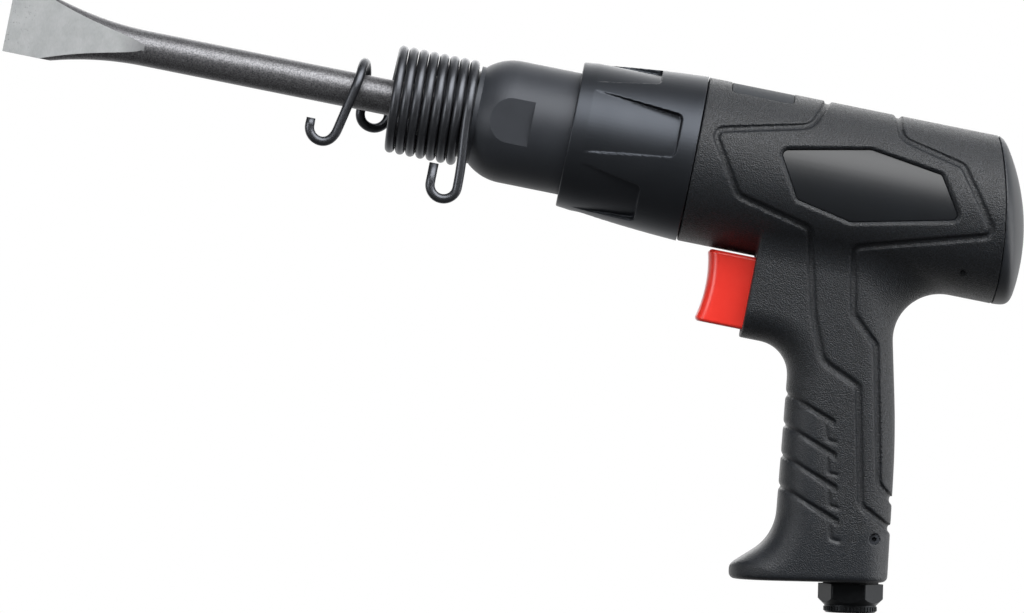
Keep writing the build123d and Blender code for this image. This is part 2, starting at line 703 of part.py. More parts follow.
outer = outer_form(0)
groove_floor = outer_form(GROOVE_DEPTH)
tail_floor = outer_form(TAIL_DEPTH)
housing = outer - (rod(cut_r, cap_x - housing_r, cap_x + 2 * housing_r) - seam_side(CAP_SEAM_RADIUS))

# Framed windows, the grooves and ledges round them, and the bare pad on top
panel_r = housing_r - PANEL_SINK
panel_floor_r = panel_r - PANEL_THICK
panel_points = [(cap_x - ahead, height) for ahead, height in PANEL_CORNERS]
panel_face = side_face(FilletPolyline(*panel_points, radius=PANEL_ROUND, close=True))
panel_block = extrude(panel_face, cut_r)
window = extrude(offset(panel_face, INSERT_GAP), cut_r) - rod(panel_floor_r, housing_x, cap_x)
side_panel_left = panel_block & (rod(panel_r, housing_x, cap_x) - rod(panel_floor_r, housing_x, cap_x))
side_panel_right = mirror(side_panel_left, Plane.XZ)
housing -= window
housing -= mirror(window, Plane.XZ)


def window_rim(edge):
    """Edge of a window on the outside of the body."""
    ends = [edge @ t for t in (0.02, 0.5, 0.98)]
    on_round = all(abs(math.hypot(end.Y, end.Z) - housing_r) < PICK for end in ends)
    front, back = (pick(x for x, z in panel_points) for pick in (min, max))
    low, high = (pick(z for x, z in panel_points) for pick in (min, max))
    in_reach = all(front - PANEL_ROUND < end.X < back + PANEL_ROUND for end in ends)
    in_height = all(low - PANEL_ROUND < end.Z < high + PANEL_ROUND for end in ends)
    return on_round and in_reach and in_height


housing = chamfer(housing.edges().filter_by(window_rim), PANEL_BEVEL)

for strip in (front_groove, rear_groove):
    housing -= both_ways(strip, GRIP_WIDTH) - groove_floor
for index in range(LEDGES):
    housing -= both_ways(ledge(index), GRIP_WIDTH) - groove_floor
    housing -= both_ways(ledge_tail(index), GRIP_WIDTH) - tail_floor

plate_x = housing_x + PLATE_SETBACK
plate_middle = plate_x + PLATE_LENGTH / 2
plate_floor_r = housing_r - PLATE_SINK - PLATE_THICK


def pad_block(grow):
    """Upright block with the outline of the pad on top."""
    shape = RectangleRounded(PLATE_LENGTH + 2 * grow, PLATE_WIDTH + 2 * grow, PLATE_CORNER + grow)
    return extrude(Pos(plate_middle, 0, 0) * shape, cut_r)


housing -= pad_block(INSERT_GAP) - rod(plate_floor_r, housing_x, cap_x)
pad_shell = rod(housing_r - PLATE_SINK, housing_x, cap_x) - rod(plate_floor_r, housing_x, cap_x)
top_plate = pad_block(0) & pad_shell

# Bores of the housing
pocket_depth = TRIGGER_TUCK + TRIGGER_TRAVEL + FACE_GAP
bush_x = boss_x + pocket_depth
bush_end_x = bush_x + BUSH_LENGTH
poppet_x = bush_end_x + RUN_GAP
chamber_end_x = grip_x - stem_z * rake_sin / rake_cos
slot_x = bush_end_x - STEM_DIA
housing -= rod(sleeve_r + SEAT_GAP, housing_x, cap_x + housing_r)
trigger_half = TRIGGER_WIDTH / 2 + FACE_GAP
trigger_top = stem_z + TRIGGER_HEIGHT / 2 + FACE_GAP
trigger_low = stem_z - TRIGGER_HEIGHT / 2 - FACE_GAP
housing -= block(boss_x - OVERCUT, bush_x, -trigger_half, trigger_half, trigger_low, trigger_top)
housing -= rod(BUSH_DIA / 2 + SEAT_GAP, boss_x, chamber_end_x, z=stem_z)
housing -= up_rod(AIR_SLOT_WIDTH / 2, slot_x, stem_z, -stem_z)
housing -= grip_rod(AIR_BORE / 2, -stem_z, GRIP_LENGTH)
housing -= grip_rod(INSERT_DIA / 2 + SEAT_GAP, GRIP_LENGTH - INSERT_LENGTH, GRIP_LENGTH)
screw_x, screw_z = grip(GRIP_LENGTH - SCREW_RISE, SCREW_BACK)
screw_end_y = -INSERT_GAP - math.sqrt((SPIGOT_DIA / 2) ** 2 - (SCREW_BACK - SCREW_DIA / 2) ** 2)
screw_hole = cross_rod(SCREW_DIA / 2 + SEAT_GAP, screw_x, screw_z, -GRIP_WIDTH, screw_end_y)
housing -= screw_hole
pin_x = cap_x - PIN_SETBACK
pin_outer_y = math.sqrt(housing_r ** 2 - PIN_DROP ** 2) - PIN_DEPTH
for side in (-1, 1):
    low, high = sorted((side * (pin_outer_y - PIN_LENGTH), side * housing_r))
    housing -= cross_rod(PIN_DIA / 2 + SEAT_GAP, pin_x, -PIN_DROP, low, high)

# Core sleeve: metal lining of the body, with an air slot along its underside
air_port_x = cover_x + COVER_LENGTH / 2
half_slot = AIR_SLOT_WIDTH / 2
slot_roof = AIR_SLOT_DEPTH - sleeve_r
air_port = down_rod(PORT_DIA / 2, air_port_x, 0, housing_r)
core_sleeve = rod(sleeve_r, sleeve_x, sleeve_end_x) - rod(tail_r + SEAT_GAP, sleeve_x, sleeve_end_x)
core_sleeve -= block(slot_x - half_slot, air_port_x, -half_slot, half_slot, -housing_r, slot_roof)
core_sleeve -= air_port

# Piston and the air distributor behind it
piston_end_x = tail_x - PISTON_REST
piston_r = PISTON_BORE / 2 - RUN_GAP
piston = turned(Polyline(
    (piston_end_x - PISTON_LENGTH, 0),
    (piston_end_x - PISTON_LENGTH, piston_r - EDGE_CHAMFER),
    (piston_end_x - PISTON_LENGTH + EDGE_CHAMFER, piston_r),
    (piston_end_x - EDGE_CHAMFER, piston_r),
    (piston_end_x, piston_r - EDGE_CHAMFER),
    (piston_end_x, 0),
    close=True,
))
disc_space = DISC_THICK + DISC_FLOAT + 2 * DISC_GAP
valve_seat = rod(tail_r, tail_x, cover_x) - rod(PORT_DIA / 2, tail_x, cover_x)
valve_disc = rod(DISC_DIA / 2, cover_x + DISC_GAP, cover_x + DISC_GAP + DISC_THICK)
valve_cover = rod(tail_r, cover_x, cushion_x) - rod(DISC_DIA / 2 + FACE_GAP, cover_x, cover_x + disc_space)
valve_cover -= rod(PORT_DIA / 2, cover_x, cushion_x)
valve_cover -= air_port
dowels = []
for side in (-1, 1):
    dowel_start = cover_x - DOWEL_LENGTH / 2
    valve_seat -= rod(DOWEL_DIA / 2 + SEAT_GAP, dowel_start, cover_x, z=side * DOWEL_RADIUS)
    valve_cover -= rod(DOWEL_DIA / 2 + SEAT_GAP, cover_x, dowel_start + DOWEL_LENGTH, z=side * DOWEL_RADIUS)
    dowels.append(rod(DOWEL_DIA / 2, dowel_start, dowel_start + DOWEL_LENGTH, z=side * DOWEL_RADIUS))
valve_pins = Compound(dowels)
cushion_ring = rod(tail_r, cushion_x, sleeve_end_x) - rod(CUSHION_BORE / 2, cushion_x, sleeve_end_x)

# End cap: smooth dome on the slanted seam, with a skirt that holds the works in place
dome_centre_x = cap_x + DOME_CAP_RISE - math.sqrt(DOME_CAP_RADIUS ** 2 - DOME_CAP_LOW ** 2)


def crown_room(height):
    """Widest rounding of the crown's edge at a height, from the strip between seam and dome there."""
    crown_reach = DOME_CAP_RADIUS ** 2 - housing_r ** 2 - DOME_CAP_LOW * (DOME_CAP_LOW + 2 * height)
    seam_reach = (CAP_SEAM_RADIUS + CAP_SEAM_DROP) ** 2 - (height - seam_centre[1]) ** 2
    strip = dome_centre_x + math.sqrt(crown_reach) - seam_centre[0] - math.sqrt(seam_reach)
    turn = math.acos((housing_r + DOME_CAP_LOW * height / housing_r) / DOME_CAP_RADIUS)
    return (strip - CAP_SEAM_DROP / 2) / math.tan(turn / 2)


crown_levels = [housing_r * step / CROWN_STEPS for step in range(-CROWN_STEPS, CROWN_STEPS + 1)]
widest_edge = min(crown_room(height) for height in crown_levels)
cap_outside = rod(housing_r, cap_x - housing_r, cap_x + housing_r)
cap_outside -= seam_side(CAP_SEAM_RADIUS + CAP_SEAM_DROP)
cap_outside &= Pos(dome_centre_x, 0, -DOME_CAP_LOW) * Sphere(DOME_CAP_RADIUS)


def crown_edge(edge):
    """Round edge between the dome and the side of the cap."""
    ends = [edge @ t for t in (0.1, 0.5, 0.9)]
    crown = Vector(dome_centre_x, 0, -DOME_CAP_LOW)
    return all(abs((end - crown).length - DOME_CAP_RADIUS) < PICK for end in ends)


cap_outside = fillet(cap_outside.edges().filter_by(crown_edge), min(CAP_EDGE, widest_edge))
cap_seal_x = sleeve_end_x + CAP_SEAL_SETBACK
skirt = rod(sleeve_r, sleeve_end_x, cap_x + DOME_CAP_RISE) & seam_side(CAP_SEAM_RADIUS + 2 * CAP_SEAM_DROP)
end_cap = cap_outside + skirt
end_cap -= rod(sleeve_r - CAP_WALL, sleeve_end_x, cap_x - DOME_CAP_RISE / 2)
end_cap -= seal_groove(cap_seal_x, sleeve_r, housing_r)
cap_seal = ring_seal(cap_seal_x, sleeve_r)
pins = []
for side in (-1, 1):
    low, high = sorted((side * (pin_outer_y - PIN_LENGTH), side * pin_outer_y))
    end_cap -= cross_rod(PIN_DIA / 2 + SEAT_GAP, pin_x, -PIN_DROP, low, high)
    pins.append(cross_rod(PIN_DIA / 2, pin_x, -PIN_DROP, low, high))
cap_pins = Compound(pins)

# Trigger: red slide with a dished front
trigger_front = boss_x - TRIGGER_REACH
trigger_back = boss_x + TRIGGER_TUCK
trigger_high = stem_z + TRIGGER_HEIGHT / 2
trigger_bottom = stem_z - TRIGGER_HEIGHT / 2
trigger_dish = ThreePointArc(
    (trigger_front, trigger_bottom),
    (trigger_front + TRIGGER_DISH, stem_z),
    (trigger_front, trigger_high),
)
trigger_rest = Polyline(
    (trigger_front, trigger_high),
    (trigger_back, trigger_high),
    (trigger_back, trigger_bottom),
    (trigger_front, trigger_bottom),
)
trigger = extrude(side_face(trigger_dish + trigger_rest), TRIGGER_WIDTH / 2, both=True)


def trigger_front_edge(edge):
    """Upright front edge of the trigger."""
    ends = [edge @ t for t in (0, 0.5, 1)]
    on_side = all(abs(abs(end.Y) - TRIGGER_WIDTH / 2) < PICK for end in ends)
    return on_side and all(end.X < boss_x - TRIGGER_REACH / 2 for end in ends)


trigger = fillet(trigger.edges().filter_by(trigger_front_edge), TRIGGER_EDGE)
trigger_level = trigger.faces().sort_by(Axis.Z)
trigger = fillet(trigger_level[0].edges() + trigger_level[-1].edges(), TRIGGER_CORNER)
trigger -= rod(STEM_DIA / 2 + SEAT_GAP, trigger_back - STEM_GRIP, trigger_back, z=stem_z)

# Throttle: stem, guide bush, seal, poppet and return spring
stem_end_x = poppet_x + POPPET_LENGTH
throttle_stem = rod(STEM_DIA / 2, trigger_back - STEM_GRIP, stem_end_x, z=stem_z)
throttle_bush = rod(BUSH_DIA / 2, bush_x, bush_end_x, z=stem_z)
throttle_bush -= rod(STEM_DIA / 2 + RUN_GAP, bush_x, bush_end_x, z=stem_z)
throttle_bush -= rod(STEM_DIA / 2 + STEM_AIR_GAP, slot_x - STEM_DIA / 2, bush_end_x, z=stem_z)
throttle_bush -= up_rod(BUSH_PORT_DIA / 2, slot_x, stem_z, BUSH_DIA)
bush_seal_x = bush_x + SEAL_WIRE
throttle_seal_r = BUSH_DIA / 2
throttle_bush -= Pos(0, 0, stem_z) * seal_groove(bush_seal_x, throttle_seal_r, BUSH_DIA)
throttle_seal = Pos(0, 0, stem_z) * ring_seal(bush_seal_x, throttle_seal_r)
throttle_poppet = rod(POPPET_DIA / 2, poppet_x, stem_end_x, z=stem_z)
throttle_poppet -= rod(STEM_DIA / 2 + SEAT_GAP, poppet_x, stem_end_x, z=stem_z)
spring_start = stem_end_x + SPRING_WIRE / 2
spring_stop = chamber_end_x - SPRING_WIRE / 2
spring_r = (SPRING_DIA - SPRING_WIRE) / 2
throttle_stops = []
for half in range(2 * SPRING_TURNS + 1):
    turn = math.pi * half
    x = spring_start + (spring_stop - spring_start) * half / (2 * SPRING_TURNS)
    point = Vector(x, spring_r * math.sin(turn), stem_z + spring_r * math.cos(turn))
    climb = (spring_stop - spring_start) / (2 * math.pi * SPRING_TURNS)
    way = Vector(climb, spring_r * math.cos(turn), -spring_r * math.sin(turn)).normalized()
    throttle_stops.append((point, way))
throttle_spring = wire_solid(wire_path(throttle_stops), SPRING_WIRE)

# Air inlet: thread insert in the grip, hexagon bushing, washer, strainer and lock screw
inlet_insert = grip_rod(INSERT_DIA / 2, GRIP_LENGTH - INSERT_LENGTH, GRIP_LENGTH)
inlet_insert -= grip_rod(SPIGOT_DIA / 2 + SEAT_GAP, GRIP_LENGTH - INSERT_LENGTH, GRIP_LENGTH)
inlet_insert -= screw_hole
washer_end = GRIP_LENGTH + WASHER_THICK
inlet_washer = grip_rod(WASHER_DIA / 2, GRIP_LENGTH, washer_end)
inlet_washer -= grip_rod(SPIGOT_DIA / 2 + SEAT_GAP, GRIP_LENGTH, washer_end)
hexagon = RegularPolygon(HEX_ACROSS / 2, 6, major_radius=False, rotation=HEX_TURN)
hex_end = washer_end + HEX_HEIGHT
hex_round = grip_rod(HEX_ACROSS / math.sqrt(3) - HEX_TRIM, washer_end, hex_end)
hex_face = hex_round.faces().sort_by(Axis(GRIP.origin, GRIP.z_dir))[-1]
inlet_bushing = extrude(GRIP.offset(washer_end) * hexagon, HEX_HEIGHT)
inlet_bushing &= chamfer(hex_face.edges(), HEX_CHAMFER)
inlet_bushing += grip_rod(RIM_DIA / 2, hex_end, mouth_along)
rim_face = inlet_bushing.faces().sort_by(Axis(GRIP.origin, GRIP.z_dir))[-1]
inlet_bushing = chamfer(rim_face.edges(), RIM_CHAMFER)
inlet_bushing += grip_rod(SPIGOT_DIA / 2, GRIP_LENGTH - SPIGOT_LENGTH, washer_end)
thread_end = mouth_along - THREAD_DEPTH
strainer_seat = thread_end - STRAINER_FLANGE
inlet_bushing -= grip_rod(THREAD_DIA / 2, thread_end, mouth_along)
inlet_bushing -= grip_rod(STRAINER_FLANGE_DIA / 2 + SEAT_GAP, strainer_seat, thread_end)
inlet_bushing -= grip_rod(STRAINER_DIA / 2 + SEAT_GAP, GRIP_LENGTH - SPIGOT_LENGTH, strainer_seat)
strainer_top = strainer_seat - STRAINER_LENGTH
inlet_strainer = grip_rod(STRAINER_FLANGE_DIA / 2, strainer_seat, thread_end)
inlet_strainer += grip_rod(STRAINER_DIA / 2, strainer_top, strainer_seat)
inlet_strainer -= grip_rod(STRAINER_DIA / 2 - STRAINER_WALL, strainer_top + STRAINER_WALL, thread_end)
screw_head_y = screw_end_y - SCREW_LENGTH
inlet_lock_screw = cross_rod(SCREW_DIA / 2, screw_x, screw_z, screw_head_y, screw_end_y)
socket = RegularPolygon(SCREW_SOCKET / 2, 6, major_radius=False)
socket_plane = Plane(origin=(screw_x, screw_head_y, screw_z), z_dir=(0, 1, 0))
inlet_lock_screw -= extrude(socket_plane * socket, SCREW_SOCKET_DEPTH)

# Export, with the origin at the mouth of the air inlet
mouth_x, mouth_z = grip(mouth_along, 0)
pieces = {
    "housing": housing,
    "end_cap": end_cap,
    "cap_seal": cap_seal,
    "cap_pins": cap_pins,
    "side_panel_left": side_panel_left,
    "side_panel_right": side_panel_right,
    "top_plate": top_plate,
    "core_sleeve": core_sleeve,
    "barrel": barrel,
    "collar_ring": collar_ring,
    "collar_seal": collar_seal,
    "exhaust_collar": exhaust_collar,
    "retainer_spring": retainer_spring,
    "chisel": chisel,
    "piston": piston,
    "valve_seat": valve_seat,
    "valve_disc": valve_disc,
    "valve_cover": valve_cover,
    "valve_pins": valve_pins,
    "cushion_ring": cushion_ring,
    "trigger": trigger,
    "throttle_stem": throttle_stem,
    "throttle_bush": throttle_bush,
    "throttle_seal": throttle_seal,
    "throttle_poppet": throttle_poppet,
    "throttle_spring": throttle_spring,
    "inlet_insert": inlet_insert,
    "inlet_bushing": inlet_bushing,
    "inlet_washer": inlet_washer,
    "inlet_strainer": inlet_strainer,
    "inlet_lock_screw": inlet_lock_screw,
}
for name, piece in pieces.items():
    export_step(Pos(-mouth_x, 0, -mouth_z) * piece, f"parts/{name}.step")
    print(name, len(piece.solids()), round(piece.volume), piece.is_valid)
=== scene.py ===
import json
import math
import bmesh
import bpy
from mathutils import Matrix, Vector
from mathutils.bvhtree import BVHTree

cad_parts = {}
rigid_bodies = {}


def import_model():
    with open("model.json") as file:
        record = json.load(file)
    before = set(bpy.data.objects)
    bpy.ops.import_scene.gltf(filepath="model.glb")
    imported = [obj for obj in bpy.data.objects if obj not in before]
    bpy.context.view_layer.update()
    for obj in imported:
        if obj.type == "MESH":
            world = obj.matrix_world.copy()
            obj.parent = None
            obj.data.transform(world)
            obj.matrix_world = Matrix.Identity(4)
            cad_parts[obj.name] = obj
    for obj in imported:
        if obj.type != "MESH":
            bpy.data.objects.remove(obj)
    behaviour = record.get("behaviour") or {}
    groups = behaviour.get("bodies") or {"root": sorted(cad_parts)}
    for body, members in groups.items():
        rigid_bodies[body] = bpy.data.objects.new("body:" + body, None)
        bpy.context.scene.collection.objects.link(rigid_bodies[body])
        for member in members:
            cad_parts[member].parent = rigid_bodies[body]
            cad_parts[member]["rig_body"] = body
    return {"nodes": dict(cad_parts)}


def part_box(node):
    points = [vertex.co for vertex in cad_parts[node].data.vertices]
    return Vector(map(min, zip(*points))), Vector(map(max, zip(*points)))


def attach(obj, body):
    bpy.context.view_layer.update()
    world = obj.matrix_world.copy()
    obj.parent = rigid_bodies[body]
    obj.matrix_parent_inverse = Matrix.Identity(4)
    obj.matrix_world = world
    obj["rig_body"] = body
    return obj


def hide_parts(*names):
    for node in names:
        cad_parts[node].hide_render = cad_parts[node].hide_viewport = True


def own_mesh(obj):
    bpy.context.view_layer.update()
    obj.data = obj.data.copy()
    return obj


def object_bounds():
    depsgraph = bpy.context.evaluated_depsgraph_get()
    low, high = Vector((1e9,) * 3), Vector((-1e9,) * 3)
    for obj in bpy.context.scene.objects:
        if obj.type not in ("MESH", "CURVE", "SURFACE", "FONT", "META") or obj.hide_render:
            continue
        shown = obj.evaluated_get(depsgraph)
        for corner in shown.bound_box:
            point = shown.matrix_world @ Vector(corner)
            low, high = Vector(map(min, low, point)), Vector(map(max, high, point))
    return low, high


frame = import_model()
nodes = frame["nodes"]
cad_low, cad_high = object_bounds()

# Hammer works: piston, valve plates, valve disc, dowels, snap ring and throttle stem, ground from tool steel.
# They run inside the barrel, the core sleeve and the grip, and the collar hides the ring.
MM = 0.001
GRIND_LINE = 0.25 * MM
GRIND_RUN = 25.0 * MM


def linear(code):
    """sRGB hex colour as linear red, green, blue and alpha."""
    parts = [int(code[i:i + 2], 16) / 255 for i in (1, 3, 5)]
    return [c / 12.92 if c <= 0.04045 else ((c + 0.055) / 1.055) ** 2.4 for c in parts] + [1.0]


def add(tree, kind, sockets=None, **settings):
    """One node with its settings. A socket value that is itself a socket is linked."""
    made = tree.nodes.new(kind)
    for name, value in settings.items():
        setattr(made, name, value)
    for key, value in (sockets or {}).items():
        if isinstance(value, bpy.types.NodeSocket):
            tree.links.new(value, made.inputs[key])
        else:
            made.inputs[key].default_value = value
    return made


def new_finish(name):
    """Empty node material, its tree and the piece's own coordinates in metres."""
    made = bpy.data.materials.new(name)
    made.use_nodes = True
    made.node_tree.nodes.clear()
    return made, made.node_tree, add(made.node_tree, "ShaderNodeTexCoord").outputs["Object"]


def coat(finish, *pieces):
    """Gives whole pieces one finish."""
    for piece in pieces:
        piece.data.materials.clear()
        piece.data.materials.append(finish)


# Ground tool steel: pale grey, with grinding lines round the axis that stretch the shine.
# The real lines are too fine to show, so they are drawn coarser
ground_steel, tree, place = new_finish("ground_tool_steel")
lines = add(tree, "ShaderNodeMapping",
            {"Vector": place, "Scale": (1 / GRIND_LINE, 1 / GRIND_RUN, 1 / GRIND_RUN)})
grind = add(tree, "ShaderNodeTexNoise", {"Vector": lines.outputs[0], "Scale": 1.0, "Detail": 3.0})
shine = add(tree, "ShaderNodeMapRange", {"Value": grind.outputs["Fac"], "To Min": 0.24, "To Max": 0.4})
tint = add(tree, "ShaderNodeMix",
           {"Factor": grind.outputs["Fac"], 6: linear("#A9ABAE"), 7: linear("#C4C6C8")}, data_type="RGBA")
steel = add(tree, "ShaderNodeBsdfPrincipled",
            {"Base Color": tint.outputs[2], "Metallic": 1.0, "Roughness": shine.outputs[0]})
add(tree, "ShaderNodeOutputMaterial", {"Surface": steel.outputs[0]})
steel_works = ("piston", "valve_seat", "valve_disc", "valve_cover", "valve_pins", "collar_ring", "throttle_stem")
coat(ground_steel, *(nodes[name] for name in steel_works))

# Core sleeve: aluminium lining of the housing, turned on a lathe and pressed in.
# The barrel screws into it.
FULL_TURN = 2 * math.pi
TURNED_RING = 0.3 * MM
# Turned aluminium: bright, with the rings that the tool leaves. Real ones are finer, and these are drawn to show
turned_alloy, tree, place = new_finish("turned_aluminium")
rings = add(tree, "ShaderNodeTexWave",
            {"Vector": place, "Scale": 1 / TURNED_RING / FULL_TURN, "Distortion": 0.6}, bands_direction="X")
ring_shine = add(tree, "ShaderNodeMapRange", {"Value": rings.outputs["Fac"], "To Min": 0.28, "To Max": 0.42})
alloy_tint = add(tree, "ShaderNodeMix",
                 {"Factor": rings.outputs["Fac"], 6: linear("#BFC2C6"), 7: linear("#D0D3D6")}, data_type="RGBA")
alloy = add(tree, "ShaderNodeBsdfPrincipled",
            {"Base Color": alloy_tint.outputs[2], "Metallic": 1.0, "Roughness": ring_shine.outputs[0]})
add(tree, "ShaderNodeOutputMaterial", {"Surface": alloy.outputs[0]})
coat(turned_alloy, nodes["core_sleeve"])

# Brass pieces of the air way: throttle bush and poppet, thread insert and strainer, turned from bar.
# The insert is moulded into the grip, and the poppet sits on the throttle stem.
BRASS_PATCH = 2.5 * MM
# Turned brass: warm yellow, a little dulled in patches
brass_finish, tree, place = new_finish("turned_brass")
patches = add(tree, "ShaderNodeTexNoise", {"Vector": place, "Scale": 1 / BRASS_PATCH, "Detail": 4.0})
brass_tint = add(tree, "ShaderNodeMix",
                 {"Factor": patches.outputs["Fac"], 6: linear("#B08A45"), 7: linear("#D3B068")}, data_type="RGBA")
brass_shine = add(tree, "ShaderNodeMapRange", {"Value": patches.outputs["Fac"], "To Min": 0.25, "To Max": 0.4})
brass = add(tree, "ShaderNodeBsdfPrincipled",
            {"Base Color": brass_tint.outputs[2], "Metallic": 1.0, "Roughness": brass_shine.outputs[0]})
add(tree, "ShaderNodeOutputMaterial", {"Surface": brass.outputs[0]})
brass_works = ("throttle_bush", "throttle_poppet", "inlet_insert", "inlet_strainer")
coat(brass_finish, *(nodes[name] for name in brass_works))

# Seals, cushion and inlet washer: moulded nitrile rubber, pressed into their grooves and seats.
# The cushion stands between the end cap and the valve plates, and the washer between the inlet and the grip.
BLOOM_PATCH = 1.2 * MM
# Nitrile rubber: matt black with a faint bloom
rubber_finish, tree, place = new_finish("nitrile_rubber")
bloom = add(tree, "ShaderNodeTexNoise", {"Vector": place, "Scale": 1 / BLOOM_PATCH, "Detail": 3.0})
rubber_tint = add(tree, "ShaderNodeMix",
                  {"Factor": bloom.outputs["Fac"], 6: linear("#141415"), 7: linear("#212224")}, data_type="RGBA")
rubber = add(tree, "ShaderNodeBsdfPrincipled", {"Base Color": rubber_tint.outputs[2], "Roughness": 0.75})
add(tree, "ShaderNodeOutputMaterial", {"Surface": rubber.outputs[0]})
rubber_works = ("cap_seal", "collar_seal", "cushion_ring", "throttle_seal", "inlet_washer")
coat(rubber_finish, *(nodes[name] for name in rubber_works))

# Throttle spring: steel wire coil behind the poppet that pushes the trigger out again.
# It shortens against its seat in the housing as the trigger goes in; here it keeps the length it has in the CAD.
JOIN = 0.001 * MM


def to_piece(shape, name):
    """New object in the scene, with a bmesh as its mesh."""
    mesh = bpy.data.meshes.new(name)
    shape.to_mesh(mesh)
    shape.free()
    piece = bpy.data.objects.new(name, mesh)
    bpy.context.scene.collection.objects.link(piece)
    return piece


def copied(node, name):
    """New piece with a CAD node's shape and its loose faces joined, on the node's own body."""
    shape = bmesh.new()
    shape.from_mesh(nodes[node].data)
    bmesh.ops.remove_doubles(shape, verts=shape.verts, dist=JOIN)
    piece = to_piece(shape, name)
    if "custom_normal" in piece.data.attributes:
        piece.data.attributes.remove(piece.data.attributes["custom_normal"])
    piece.data.shade_smooth()
    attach(piece, nodes[node]["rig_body"])
    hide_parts(node)
    return piece


throttle_coil = copied("throttle_spring", "throttle_coil")
coat(ground_steel, throttle_coil)
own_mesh(throttle_coil)

# Barrel: turned from steel bar, with a domed nose, two milled spanner flats and a neck for the spring.
# It is screwed into the core sleeve, and its edges are broken after turning.
BARREL_EDGE = 0.25 * MM
BARREL_SHARP = 15.0
PAINTED_SHADE_LENGTH = 12.9 * MM
OXIDE_TOOTH = 0.22 * MM
OXIDE_CLOUD = 9.0 * MM
RUB_MARK = 1.5 * MM


def edged(node, name, width, sharp=28.0):
    """Copy of a rigid CAD piece whose edges, sharper than an angle in degrees, are broken by a small rounding."""
    piece = copied(node, name)
    piece.data.set_sharp_from_angle(angle=math.radians(sharp))
    bevel = piece.modifiers.new("broken_edges", "BEVEL")
    bevel.width = width
    bevel.segments = 2
    bevel.limit_method = "ANGLE"
    bevel.angle_limit = math.radians(sharp)
    bevel.profile = 0.5
    flat = piece.modifiers.new("even_shade", "WEIGHTED_NORMAL")
    flat.keep_sharp = True
    return piece


# Black oxide on steel: charcoal and satin, with faint cloudy patches and a blasted tooth.
# The real tooth is too fine to show, so it is drawn coarser
black_oxide, tree, place = new_finish("black_oxide_steel")
tooth = add(tree, "ShaderNodeTexNoise", {"Vector": place, "Scale": 1 / OXIDE_TOOTH, "Detail": 2.0})
clouds = add(tree, "ShaderNodeTexNoise", {"Vector": place, "Scale": 1 / OXIDE_CLOUD, "Detail": 3.0})
oxide_tint = add(tree, "ShaderNodeMix",
                 {"Factor": clouds.outputs["Fac"], 6: linear("#303338"), 7: linear("#3A3D43")}, data_type="RGBA")
oxide_shine = add(tree, "ShaderNodeMapRange", {"Value": clouds.outputs["Fac"], "To Min": 0.46, "To Max": 0.54})
oxide_bump = add(tree, "ShaderNodeBump",
                 {"Height": tooth.outputs["Fac"], "Strength": 0.25, "Distance": 0.02 * MM})
oxide = add(tree, "ShaderNodeBsdfPrincipled",
            {"Base Color": oxide_tint.outputs[2], "Metallic": 0.4, "Roughness": oxide_shine.outputs[0],
             "Normal": oxide_bump.outputs[0]})
add(tree, "ShaderNodeOutputMaterial", {"Surface": oxide.outputs[0]})
# Blackened steel: nearly black and half bright, so that it shows the light beside it. On the barrel's neck under
# the coil it is painted shade, which darkens the gaps between the turns
blackened, tree, place = new_finish("blackened_steel")
rub = add(tree, "ShaderNodeTexNoise", {"Vector": place, "Scale": 1 / RUB_MARK, "Detail": 3.0})
black_tint = add(tree, "ShaderNodeMix",
                 {"Factor": rub.outputs["Fac"], 6: linear("#1F2022"), 7: linear("#2A2C2E")}, data_type="RGBA")
black_shine = add(tree, "ShaderNodeMapRange", {"Value": rub.outputs["Fac"], "To Min": 0.32, "To Max": 0.42})
black = add(tree, "ShaderNodeBsdfPrincipled",
            {"Base Color": black_tint.outputs[2], "Metallic": 0.9, "Roughness": black_shine.outputs[0]})
add(tree, "ShaderNodeOutputMaterial", {"Surface": black.outputs[0]})
barrel_tube = edged("barrel", "barrel_tube", BARREL_EDGE, BARREL_SHARP)
# The neck under the coil gets the blackened steel as painted shade, so the gaps between the coil's turns look dark
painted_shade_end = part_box("barrel")[0].x + PAINTED_SHADE_LENGTH
coat(black_oxide, barrel_tube)
barrel_tube.data.materials.append(blackened)
for face in barrel_tube.data.polygons:
    if face.center.x < painted_shade_end:
        face.material_index = 1

# Exhaust collar: die-cast alloy sleeve that turns on the barrel to aim the exhaust, with six scooped pockets.
# A satin anthracite coat covers it and rounds the rims of the pockets a little.
COLLAR_VOXEL = 0.28 * MM
COLLAR_FACES = 120000
RIM_ROUNDS = 3
COAT_GRAIN = 0.3 * MM
COAT_CLOUD = 12.0 * MM
# Anthracite coat on alloy: dark grey with a satin metal shine, faintly cloudy, with a slight orange peel
anthracite, tree, place = new_finish("anthracite_coat_on_alloy")
orange_peel = add(tree, "ShaderNodeTexNoise", {"Vector": place, "Scale": 1 / COAT_GRAIN, "Detail": 2.0})
coat_clouds = add(tree, "ShaderNodeTexNoise", {"Vector": place, "Scale": 1 / COAT_CLOUD, "Detail": 2.0})
coat_tint = add(tree, "ShaderNodeMix",
                {"Factor": coat_clouds.outputs["Fac"], 6: linear("#35383D"), 7: linear("#3D4045")},
                data_type="RGBA")
coat_bump = add(tree, "ShaderNodeBump",
                {"Height": orange_peel.outputs["Fac"], "Strength": 0.2, "Distance": 0.02 * MM})
coated = add(tree, "ShaderNodeBsdfPrincipled",
             {"Base Color": coat_tint.outputs[2], "Metallic": 0.85, "Roughness": 0.43,
              "Normal": coat_bump.outputs[0]})
add(tree, "ShaderNodeOutputMaterial", {"Surface": coated.outputs[0]})


def settle(piece):
    """Applies a piece's modifiers to its mesh."""
    graph = bpy.context.evaluated_depsgraph_get()
    done = bpy.data.meshes.new_from_object(piece.evaluated_get(graph))
    piece.modifiers.clear()
    piece.data = done


